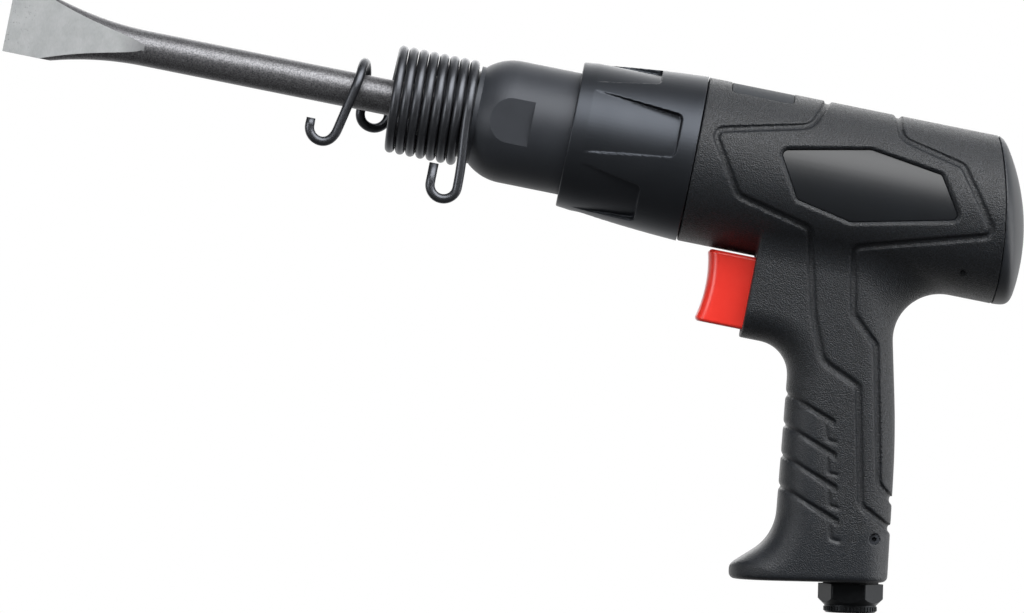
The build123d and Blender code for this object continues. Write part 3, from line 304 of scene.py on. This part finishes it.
def skinned(node, name, voxel):
    """Copy of a CAD piece in one even skin of small faces, ready to be rounded."""
    piece = copied(node, name)
    remesh = piece.modifiers.new("skin", "REMESH")
    remesh.mode = "VOXEL"
    remesh.voxel_size = voxel
    settle(piece)
    return piece


def rounded(piece, name, rounds, share_at=None):
    """Smooths a skin by some rounds, all over or by the share that a function gives for each point."""
    smooth = piece.modifiers.new(name, "SMOOTH")
    smooth.factor = 0.5
    smooth.iterations = rounds
    if share_at:
        group = piece.vertex_groups.new(name=name)
        for vertex in piece.data.vertices:
            share = share_at(vertex.co)
            if share > 0:
                group.add([vertex.index], min(1.0, share), "REPLACE")
        smooth.vertex_group = name


def thinned(piece, most):
    """Applies the rounding and brings a skin down to a number of triangles."""
    fewer = piece.modifiers.new("fewer_faces", "DECIMATE")
    fewer.ratio = min(1.0, most / (2 * len(piece.data.polygons)))
    settle(piece)
    piece.data.shade_smooth()


collar_shell = skinned("exhaust_collar", "collar_shell", COLLAR_VOXEL)
rounded(collar_shell, "rounded_rims", RIM_ROUNDS)
thinned(collar_shell, COLLAR_FACES)
coat(anthracite, collar_shell)

# Retainer spring: one length of spring wire, wound on the nose and looped round the chisel, black coated.
# The front hook and the rear finger tab are bent from the same wire.
# The coat thickens the bare wire of the CAD a little.
COAT_BUILD = 0.14 * MM
DIE_MARK = 0.8 * MM
# Black coat on drawn wire: dark grey and half bright, a little uneven from the marks of the drawing die
spring_coat, tree, place = new_finish("black_coated_spring_wire")
die_marks = add(tree, "ShaderNodeTexNoise", {"Vector": place, "Scale": 1 / DIE_MARK, "Detail": 3.0})
wire_tint = add(tree, "ShaderNodeMix",
                {"Factor": die_marks.outputs["Fac"], 6: linear("#484A4E"), 7: linear("#5A5C61")},
                data_type="RGBA")
wire_shine = add(tree, "ShaderNodeMapRange", {"Value": die_marks.outputs["Fac"], "To Min": 0.34, "To Max": 0.44})
wire = add(tree, "ShaderNodeBsdfPrincipled",
           {"Base Color": wire_tint.outputs[2], "Metallic": 0.9, "Roughness": wire_shine.outputs[0]})
add(tree, "ShaderNodeOutputMaterial", {"Surface": wire.outputs[0]})
coil_wire = copied("retainer_spring", "coil_wire")
build = coil_wire.modifiers.new("coat", "DISPLACE")
build.strength = COAT_BUILD
build.mid_level = 0.0
coat(spring_coat, coil_wire)

# Chisel: forged from round bar, with its blade ground flat on both faces and a collar that the spring holds.
# The forged skin stays on the shaft, and the ground faces are bare steel.
CHISEL_EDGE = 0.2 * MM
CHISEL_SHARP = 12.0
GROUND_LENGTH = 46.5 * MM
RUN_OUT = 9.0 * MM
PITTED_LENGTH = 13.0 * MM
SKIN_GRAIN = 0.5 * MM
SCRATCH_GAP = 0.5 * MM
SCRATCH_LENGTH = 1.2 * MM
MOTTLE = 4.0 * MM
PIT = 0.8 * MM
chisel_bar = edged("chisel", "chisel_bar", CHISEL_EDGE, CHISEL_SHARP)
edge_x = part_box("chisel")[0].x
ground_end = edge_x + GROUND_LENGTH
# Phosphated forged steel: dark grey with a dull metal shine and a pale speckle.
# The real grain is too fine to show, so it is drawn coarser
forged_skin, tree, place = new_finish("phosphated_forged_steel")
speckle = add(tree, "ShaderNodeTexNoise",
              {"Vector": place, "Scale": 1 / SKIN_GRAIN, "Detail": 2.0, "Roughness": 0.6})
spread = add(tree, "ShaderNodeMapRange", {"Value": speckle.outputs["Fac"], "From Min": 0.3, "From Max": 0.7})
skin_tint = add(tree, "ShaderNodeMix",
                {"Factor": spread.outputs[0], 6: linear("#4A4A4C"), 7: linear("#838386")}, data_type="RGBA")
skin_bump = add(tree, "ShaderNodeBump",
                {"Height": speckle.outputs["Fac"], "Strength": 0.5, "Distance": 0.05 * MM})
skin = add(tree, "ShaderNodeBsdfPrincipled",
           {"Base Color": skin_tint.outputs[2], "Metallic": 0.75, "Roughness": 0.42,
            "Normal": skin_bump.outputs[0]})
add(tree, "ShaderNodeOutputMaterial", {"Surface": skin.outputs[0]})
# Ground blade steel: light grey, with short scratches across it, a little mottled, and pitted at its edge by use.
# The ground face runs out softly on the shaft, and the scratches are drawn coarser than real ones to show
blade_finish, tree, place = new_finish("ground_blade_steel")
scratch_run = add(tree, "ShaderNodeMapping",
                  {"Vector": place, "Scale": (1 / SCRATCH_GAP, 1.0, 1 / SCRATCH_LENGTH)})
scratches = add(tree, "ShaderNodeTexNoise", {"Vector": scratch_run.outputs[0], "Scale": 1.0, "Detail": 4.0})
mottling = add(tree, "ShaderNodeTexNoise", {"Vector": place, "Scale": 1 / MOTTLE, "Detail": 3.0})
cloudy = add(tree, "ShaderNodeMapRange", {"Value": mottling.outputs["Fac"], "From Min": 0.3, "From Max": 0.7})
marks = add(tree, "ShaderNodeMix",
            {"Factor": 0.4, 2: scratches.outputs["Fac"], 3: cloudy.outputs[0]}, data_type="FLOAT")
ground_tint = add(tree, "ShaderNodeMix",
                  {"Factor": marks.outputs[0], 6: linear("#979A9B"), 7: linear("#B9BBBC")}, data_type="RGBA")
length = add(tree, "ShaderNodeSeparateXYZ", {0: place})
run_out = add(tree, "ShaderNodeMapRange",
              {"Value": length.outputs["X"], "From Min": ground_end - RUN_OUT, "From Max": ground_end,
               "To Max": 0.75})
run_out_tint = add(tree, "ShaderNodeMix",
                   {"Factor": run_out.outputs[0], 6: ground_tint.outputs[2], 7: linear("#6C6C6F")},
                   data_type="RGBA")
pit_noise = add(tree, "ShaderNodeTexNoise", {"Vector": place, "Scale": 1 / PIT, "Detail": 2.0})
pit_spots = add(tree, "ShaderNodeMapRange",
                {"Value": pit_noise.outputs["Fac"], "From Min": 0.62, "From Max": 0.72})
near_edge = add(tree, "ShaderNodeMapRange",
                {"Value": length.outputs["X"], "From Min": edge_x, "From Max": edge_x + PITTED_LENGTH,
                 "To Min": 0.7, "To Max": 0.0})
pitting = add(tree, "ShaderNodeMath", {0: pit_spots.outputs[0], 1: near_edge.outputs[0]}, operation="MULTIPLY")
blade_tint = add(tree, "ShaderNodeMix",
                 {"Factor": pitting.outputs[0], 6: run_out_tint.outputs[2], 7: linear("#6A6C6D")},
                 data_type="RGBA")
blade_bump = add(tree, "ShaderNodeBump",
                 {"Height": scratches.outputs["Fac"], "Strength": 0.15, "Distance": 0.02 * MM})
blade = add(tree, "ShaderNodeBsdfPrincipled",
            {"Base Color": blade_tint.outputs[2], "Metallic": 0.35, "Roughness": 0.6,
             "Normal": blade_bump.outputs[0]})
add(tree, "ShaderNodeOutputMaterial", {"Surface": blade.outputs[0]})
# The ground faces look to the sides, and the cutting edge looks forwards
SIDEWAYS = 0.985
FORWARDS = 0.9
coat(forged_skin, chisel_bar)
chisel_bar.data.materials.append(blade_finish)
for face in chisel_bar.data.polygons:
    ground = abs(face.normal.y) > SIDEWAYS or face.normal.x < -FORWARDS
    if ground and face.center.x < ground_end:
        face.material_index = 1

# Housing: round body and pistol grip, moulded in one from glass-filled nylon, with soft edges throughout.
# Two grooves run from the top of the body down the grip, and four finger ledges cross its front.
HOUSING_VOXEL = 0.36 * MM
HOUSING_FACES = 190000
moulding = skinned("housing", "moulded_housing", HOUSING_VOXEL)
# Grip axis of the mould: it leans by the rake and meets the mouth of the air inlet at the origin
RAKE = math.radians(10.0)
AXIS_TO_MOUTH = 138.6 * MM


def on_grip(point):
    """Distance below the barrel axis along the grip, and distance behind the grip axis, both in mm."""
    along = AXIS_TO_MOUTH + point.x * math.sin(RAKE) - point.z * math.cos(RAKE)
    back = point.x * math.cos(RAKE) + point.z * math.sin(RAKE)
    return along / MM, back / MM


def surface_of(*names):
    """Search tree over the surfaces of CAD nodes."""
    shape = bmesh.new()
    for name in names:
        shape.from_mesh(nodes[name].data)
    found = BVHTree.FromBMesh(shape)
    shape.free()
    return found


# The rims round the pieces that fit into the housing stay crisp, the finger ledges are rounded by half,
# and the long grooves are rounded further. Places along and behind the grip axis are in mm
CRISP_RIM = 1.5 * MM
SOFT_RIM = 3.0 * MM
CRISP_SHARE = 0.1
LEDGES_BELOW = 66.0
LEDGE_SHARE = 0.5
GROOVE_ROUNDS = 13
fitted = surface_of("side_panel_left", "side_panel_right", "top_plate", "end_cap", "exhaust_collar", "trigger",
                    "cap_pins", "inlet_lock_screw")


def groove_share(point):
    """How far a point of the housing is rounded with the grooves."""
    along, back = on_grip(point)
    most = LEDGE_SHARE if along > LEDGES_BELOW and back < 0 else 1.0
    gap = fitted.find_nearest(point)[3]
    return min(most, max(CRISP_SHARE, (gap - CRISP_RIM) / (SOFT_RIM - CRISP_RIM)))


rounded(moulding, "rounded_grooves", GROOVE_ROUNDS, groove_share)
# The ledges fade out towards the front of the grip
LEDGES_FROM = 50.0
LEDGES_TO = 105.0
FADE_START = 14.0
FADE_END = 20.0
FADE_ROUNDS = 30


def fade_share(point):
    """How far a point of the ledges is faded."""
    along, back = on_grip(point)
    return (-back - FADE_START) / (FADE_END - FADE_START) if LEDGES_FROM < along < LEDGES_TO else 0.0


rounded(moulding, "faded_ledges", FADE_ROUNDS, fade_share)
# The toe under the fingers ends in a blunt round beak
TOE_START = 30.0
TOE_END = 36.0
TOE_EDGE = 127.0
TOE_EDGE_FADE = 4.0
TOE_ROUNDS = 90


def beak_share(point):
    """How far a point of the toe is blunted."""
    along, back = on_grip(point)
    share = min((-back - TOE_START) / (TOE_END - TOE_START), (TOE_EDGE - along) / TOE_EDGE_FADE)
    return share if along > LEDGES_TO else 0.0


rounded(moulding, "round_beak", TOE_ROUNDS, beak_share)
thinned(moulding, HOUSING_FACES)
# Moulded nylon: near black and half matt, with a spark-eroded grain that is fainter on finger pads and toe.
# The real grain is too fine to show, so it is drawn coarser
SPARK_GRAIN = 0.4 * MM
moulded_nylon, tree, place = new_finish("moulded_glass_filled_nylon")
sparks = add(tree, "ShaderNodeTexNoise",
             {"Vector": place, "Scale": 1 / SPARK_GRAIN, "Detail": 1.0, "Roughness": 0.5})
pits = add(tree, "ShaderNodeMapRange", {"Value": sparks.outputs["Fac"], "From Min": 0.3, "From Max": 0.7})
mask = add(tree, "ShaderNodeAttribute", attribute_name="grain")
relief = add(tree, "ShaderNodeMath", {0: pits.outputs[0], 1: mask.outputs["Fac"]}, operation="MULTIPLY")
nylon_bump = add(tree, "ShaderNodeBump", {"Height": relief.outputs[0], "Strength": 1.0, "Distance": 0.12 * MM})
tone = add(tree, "ShaderNodeMix", {"Factor": mask.outputs["Fac"], 2: 0.9, 3: pits.outputs[0]}, data_type="FLOAT")
nylon_tint = add(tree, "ShaderNodeMix",
                 {"Factor": tone.outputs[0], 6: linear("#020304"), 7: linear("#21252B")}, data_type="RGBA")
nylon_shine = add(tree, "ShaderNodeMapRange", {"Value": tone.outputs[0], "To Min": 0.56, "To Max": 0.38})
nylon = add(tree, "ShaderNodeBsdfPrincipled",
            {"Base Color": nylon_tint.outputs[2], "Roughness": nylon_shine.outputs[0],
             "Normal": nylon_bump.outputs[0]})
add(tree, "ShaderNodeOutputMaterial", {"Surface": nylon.outputs[0]})
coat(moulded_nylon, moulding)
PADS_BELOW = 72.0
PADS_AHEAD = 13.0
TOE_BELOW = 112.0
FAINT_GRAIN = 0.6
grain = moulding.data.attributes.new("grain", "FLOAT", "POINT")
for vertex in moulding.data.vertices:
    along, back = on_grip(vertex.co)
    faint = along > PADS_BELOW and back < -PADS_AHEAD or along > TOE_BELOW
    grain.data[vertex.index].value = FAINT_GRAIN if faint else 1.0

# Side panels and the pad on top: thin ABS plates, moulded and pressed into framed windows of the housing.
# The panels are satin, the pad is matt, and all three are plain.
PLATE_EDGE = 0.2 * MM
PLATE_GRAIN = 0.4 * MM
PANEL_CLOUD = 20.0 * MM
# Satin ABS, on the panels: near black with a soft even shine. Its grain is drawn coarser than the real one
panel_abs, tree, place = new_finish("satin_abs")
panel_grain = add(tree, "ShaderNodeTexNoise", {"Vector": place, "Scale": 1 / PLATE_GRAIN, "Detail": 2.0})
panel_bump = add(tree, "ShaderNodeBump",
                 {"Height": panel_grain.outputs["Fac"], "Strength": 0.1, "Distance": 0.01 * MM})
panel_clouds = add(tree, "ShaderNodeTexNoise", {"Vector": place, "Scale": 1 / PANEL_CLOUD})
panel_tint = add(tree, "ShaderNodeMix",
                 {"Factor": panel_clouds.outputs["Fac"], 6: linear("#16181B"), 7: linear("#1B1E22")},
                 data_type="RGBA")
panel = add(tree, "ShaderNodeBsdfPrincipled",
            {"Base Color": panel_tint.outputs[2], "Roughness": 0.38, "Normal": panel_bump.outputs[0]})
add(tree, "ShaderNodeOutputMaterial", {"Surface": panel.outputs[0]})
# Matt ABS, on the pad: dark grey and dull, so that it keeps the housing's tone where it is seen edge on
pad_abs, tree, place = new_finish("matt_abs")
pad_grain = add(tree, "ShaderNodeTexNoise", {"Vector": place, "Scale": 1 / PLATE_GRAIN, "Detail": 2.0})
pad_bump = add(tree, "ShaderNodeBump",
               {"Height": pad_grain.outputs["Fac"], "Strength": 0.6, "Distance": 0.08 * MM})
pad_tint = add(tree, "ShaderNodeMix",
               {"Factor": pad_grain.outputs["Fac"], 6: linear("#1E2125"), 7: linear("#2C3035")}, data_type="RGBA")
pad = add(tree, "ShaderNodeBsdfPrincipled",
          {"Base Color": pad_tint.outputs[2], "Roughness": 0.62, "Specular IOR Level": 0.3,
           "Normal": pad_bump.outputs[0]})
add(tree, "ShaderNodeOutputMaterial", {"Surface": pad.outputs[0]})
for node, finish in (("side_panel_left", panel_abs), ("side_panel_right", panel_abs), ("top_plate", pad_abs)):
    plate = edged(node, node + "_plate", PLATE_EDGE)
    coat(finish, plate)

# End cap: nylon dome that closes the back of the body, held by two cross pins of blackened steel.
# Its mould is polished finer than the housing's.
CAP_GRAIN = 0.35 * MM
CAP_CLOUD = 15.0 * MM
# Smooth nylon: dark grey and half matt, with a grain that only just shows
cap_nylon, tree, place = new_finish("smooth_nylon")
cap_grain = add(tree, "ShaderNodeTexNoise", {"Vector": place, "Scale": 1 / CAP_GRAIN, "Detail": 2.0})
cap_bump = add(tree, "ShaderNodeBump",
               {"Height": cap_grain.outputs["Fac"], "Strength": 0.25, "Distance": 0.03 * MM})
cap_clouds = add(tree, "ShaderNodeTexNoise", {"Vector": place, "Scale": 1 / CAP_CLOUD})
cap_tint = add(tree, "ShaderNodeMix",
               {"Factor": cap_clouds.outputs["Fac"], 6: linear("#212428"), 7: linear("#282B30")},
               data_type="RGBA")
cap = add(tree, "ShaderNodeBsdfPrincipled",
          {"Base Color": cap_tint.outputs[2], "Roughness": 0.45, "Normal": cap_bump.outputs[0]})
add(tree, "ShaderNodeOutputMaterial", {"Surface": cap.outputs[0]})
# The seam's edge stays crisp, and the crown is rounded into the side
CAP_VOXEL = 0.4 * MM
CAP_FACES = 60000
CROWN_ROUNDS = 260
SEAM_KEPT = 0.5 * MM
SEAM_FREE = 2.0 * MM
cap_dome = skinned("end_cap", "cap_dome", CAP_VOXEL)
seam_side = surface_of("housing")


def crown_share(point):
    """How far a point of the cap is rounded with the crown."""
    return (seam_side.find_nearest(point)[3] - SEAM_KEPT) / (SEAM_FREE - SEAM_KEPT)


rounded(cap_dome, "round_crown", CROWN_ROUNDS, crown_share)
thinned(cap_dome, CAP_FACES)
coat(cap_nylon, cap_dome)
coat(blackened, nodes["cap_pins"])

# Trigger: red ABS slide with a dished front and rounded front edges, moulded in one.
# It is pressed on the throttle stem and slides straight back into the housing.
TRIGGER_EDGE = 0.35 * MM
RIPPLE = 3.0 * MM
# Glossy ABS: clear red with a slight ripple from the mould
red_abs, tree, place = new_finish("glossy_red_abs")
ripple = add(tree, "ShaderNodeTexNoise", {"Vector": place, "Scale": 1 / RIPPLE, "Detail": 1.0})
red_bump = add(tree, "ShaderNodeBump",
               {"Height": ripple.outputs["Fac"], "Strength": 0.08, "Distance": 0.05 * MM})
red_tint = add(tree, "ShaderNodeMix",
               {"Factor": ripple.outputs["Fac"], 6: linear("#EE3429"), 7: linear("#F33D31")}, data_type="RGBA")
red = add(tree, "ShaderNodeBsdfPrincipled",
          {"Base Color": red_tint.outputs[2], "Roughness": 0.28, "Normal": red_bump.outputs[0]})
add(tree, "ShaderNodeOutputMaterial", {"Surface": red.outputs[0]})
trigger_slide = edged("trigger", "trigger_slide", TRIGGER_EDGE)
coat(red_abs, trigger_slide)

# Air inlet: hexagon bushing of blackened steel with a knurled rim at its mouth, screwed into the grip.
# A small socket screw of black oxide steel beside it keeps the bushing from turning.
HEX_EDGE = 0.2 * MM
SCREW_EDGE = 0.12 * MM
inlet_hex = edged("inlet_bushing", "inlet_hex", HEX_EDGE)
lock_screw = edged("inlet_lock_screw", "lock_screw", SCREW_EDGE)
coat(blackened, inlet_hex)
coat(black_oxide, lock_screw)
# Knurl: one small rib with broken edges, spun round the rim and leaned with the grip
KNURLS = 44
KNURL_SIZE = Vector((0.5, 0.62, 1.5)) * MM
KNURL_EDGE = 0.12 * MM
KNURL_MIDDLE = 1.3 * MM
RIM_RADIUS = 8.6 * MM
knurl = bmesh.new()
bmesh.ops.create_cube(knurl, size=1.0)
bmesh.ops.scale(knurl, verts=knurl.verts, vec=KNURL_SIZE)
bmesh.ops.bevel(knurl, geom=knurl.edges[:], offset=KNURL_EDGE, offset_type="OFFSET", affect="EDGES", segments=1,
                profile=0.5, material=-1)
bmesh.ops.translate(knurl, verts=knurl.verts, vec=(RIM_RADIUS, 0, KNURL_MIDDLE))
bmesh.ops.spin(knurl, geom=knurl.verts[:] + knurl.edges[:] + knurl.faces[:], cent=(0, 0, 0), axis=(0, 0, 1),
               dvec=(0, 0, 0), angle=FULL_TURN * (KNURLS - 1) / KNURLS, steps=KNURLS - 1, use_duplicate=True)
bmesh.ops.rotate(knurl, verts=knurl.verts, cent=(0, 0, 0), matrix=Matrix.Rotation(-RAKE, 3, "Y"))
inlet_knurl = to_piece(knurl, "inlet_knurl")
coat(blackened, inlet_knurl)
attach(inlet_knurl, "tool")

# Studio: a pale paper floor well below the tool, a white surround and six soft lamps.
# Most of the light comes from above and in front, and the rest fills the sides and the back.
# The floor's sizes, and how far off and how far back its paper turns white, are in metres.
FLOOR_DROP = 0.16
FLOOR_SIZE = 60.0
PAPER_PALE = 0.25
PAPER_WHITE = 0.9
BACK_START = -0.05
BACK_WHITE = 0.45
scene = bpy.context.scene
scene.view_settings.view_transform = "Standard"
middle = (cad_low + cad_high) / 2
floor_z = cad_low.z - FLOOR_DROP
floor_shape = bmesh.new()
bmesh.ops.create_grid(floor_shape, x_segments=1, y_segments=1, size=FLOOR_SIZE / 2)
bmesh.ops.translate(floor_shape, verts=floor_shape.verts, vec=(0, 0, floor_z))
studio_floor = to_piece(floor_shape, "studio_floor")


def eye_and_mirror(tree, back):
    """Share of a ray that goes to the eye, straight or through glass, and share of a reflection of the back."""
    path = add(tree, "ShaderNodeLightPath")
    direct = add(tree, "ShaderNodeMath",
                 {0: path.outputs["Is Camera Ray"], 1: path.outputs["Is Transmission Ray"]}, operation="MAXIMUM")
    mirrored = add(tree, "ShaderNodeMath", {0: path.outputs["Is Glossy Ray"], 1: back}, operation="MULTIPLY")
    return direct.outputs[0], mirrored.outputs[0]


# Paper: pale where the tool's shadow falls and white further off. To the eye and in reflections the back is white,
# and the near paper throws only a little light back up, as a grey card under the tool does.
paper, tree, place = new_finish("pale_paper")
spot = add(tree, "ShaderNodeVectorMath", {0: place, 1: (middle.x, 0, floor_z)}, operation="DISTANCE")
far = add(tree, "ShaderNodeMapRange",
          {"Value": spot.outputs["Value"], "From Min": PAPER_PALE, "From Max": PAPER_WHITE},
          interpolation_type="SMOOTHSTEP")
across = add(tree, "ShaderNodeSeparateXYZ", {0: place})
at_back = add(tree, "ShaderNodeMapRange",
              {"Value": across.outputs["Y"], "From Min": BACK_START, "From Max": BACK_WHITE},
              interpolation_type="SMOOTHSTEP")
direct, mirrored = eye_and_mirror(tree, at_back.outputs[0])
distant = add(tree, "ShaderNodeMath", {0: direct, 1: far.outputs[0]}, operation="MULTIPLY")
whiten = add(tree, "ShaderNodeMath", {0: distant.outputs[0], 1: mirrored}, operation="MAXIMUM")
card = add(tree, "ShaderNodeMix", {"Factor": direct, 6: linear("#4A4A4A"), 7: linear("#EDEDED")}, data_type="RGBA")
pale = add(tree, "ShaderNodeBsdfDiffuse", {"Color": card.outputs[2]})
white = add(tree, "ShaderNodeEmission", {"Color": linear("#FFFFFF"), "Strength": 1.0})
both = add(tree, "ShaderNodeMixShader", {0: whiten.outputs[0], 1: pale.outputs[0], 2: white.outputs[0]})
add(tree, "ShaderNodeOutputMaterial", {"Surface": both.outputs[0]})
coat(paper, studio_floor)

# Surround: white to the eye. Reflections show a white backdrop behind the tool, dimmer to the left,
# and a dim room in front. The starts and ends are parts of a direction, from -1 to 1
BACKDROP_START = 0.3
BACKDROP_WHITE = 0.9
DIM_END = -0.8
BRIGHT_END = 0.2
DIM_SHARE = 0.25
ROOM_LIGHT = 0.03
surround = bpy.data.worlds.new("white_surround")
scene.world = surround
surround.use_nodes = True
tree = surround.node_tree
tree.nodes.clear()
toward = add(tree, "ShaderNodeSeparateXYZ", {0: add(tree, "ShaderNodeTexCoord").outputs["Generated"]})
at_back = add(tree, "ShaderNodeMapRange",
              {"Value": toward.outputs["Y"], "From Min": BACKDROP_START, "From Max": BACKDROP_WHITE},
              interpolation_type="SMOOTHSTEP")
at_right = add(tree, "ShaderNodeMapRange",
               {"Value": toward.outputs["X"], "From Min": DIM_END, "From Max": BRIGHT_END, "To Min": DIM_SHARE})
backdrop = add(tree, "ShaderNodeMath", {0: at_back.outputs[0], 1: at_right.outputs[0]}, operation="MULTIPLY")
direct, mirrored = eye_and_mirror(tree, backdrop.outputs[0])
seen = add(tree, "ShaderNodeMath", {0: direct, 1: mirrored}, operation="MAXIMUM")
room = add(tree, "ShaderNodeBackground", {"Color": linear("#FFFFFF"), "Strength": ROOM_LIGHT})
white = add(tree, "ShaderNodeBackground", {"Color": linear("#FFFFFF"), "Strength": 1.0})
both = add(tree, "ShaderNodeMixShader", {0: seen.outputs[0], 1: room.outputs[0], 2: white.outputs[0]})
add(tree, "ShaderNodeOutputWorld", {"Surface": both.outputs[0]})

# Lamps: place from the tool's middle and width and height, all in metres, and power in watts
lamps = {
    "key_light": ((0.3, -0.75, 0.95), (2.0, 1.0), 36.0),
    "front_fill": ((-0.3, -1.6, 0.3), (1.0, 1.0), 0.4),
    "left_fill": ((-1.2, -0.9, 0.0), (0.6, 0.6), 7.0),
    "right_fill": ((1.15, 0.02, -0.05), (0.9, 1.2), 8.8),
    "back_light": ((0.1, 0.62, 0.92), (1.2, 0.5), 2.0),
    "far_side_light": ((-0.2, 1.2, 0.5), (1.4, 0.8), 8.0),
}
for name, (offset, size, power) in lamps.items():
    lamp = bpy.data.lights.new(name, "AREA")
    lamp.shape = "RECTANGLE"
    lamp.size, lamp.size_y = size
    lamp.energy = power
    lamp_place = middle + Vector(offset)
    holder = bpy.data.objects.new(name, lamp)
    holder.location = lamp_place
    holder.rotation_mode = "QUATERNION"
    holder.rotation_quaternion = (middle - lamp_place).to_track_quat("-Z", "Y")
    scene.collection.objects.link(holder)

# Camera: it looks square at the tool's left side and is rolled, as in the photograph.
# The image's middle lies in the tool's middle plane, and so does the width that the view takes in.
LOOK_AT = Vector((-129.28, 0, 76.9)) * MM
DISTANCE = 2.5
VIEW_WIDTH = 337.95 * MM
ROLL = math.radians(11.4)
lens = bpy.data.cameras.new("camera")
lens.sensor_width = 36.0
lens.lens = lens.sensor_width * DISTANCE / VIEW_WIDTH
lens.clip_end = 100.0
camera = bpy.data.objects.new("camera", lens)
right = Vector((math.cos(ROLL), 0, math.sin(ROLL)))
upward = Vector((-math.sin(ROLL), 0, math.cos(ROLL)))
towards = Vector((0, -1, 0))
turn = Matrix((right, upward, towards)).transposed().to_4x4()
camera.matrix_world = Matrix.Translation(LOOK_AT + towards * DISTANCE) @ turn
scene.collection.objects.link(camera)
scene.camera = camera
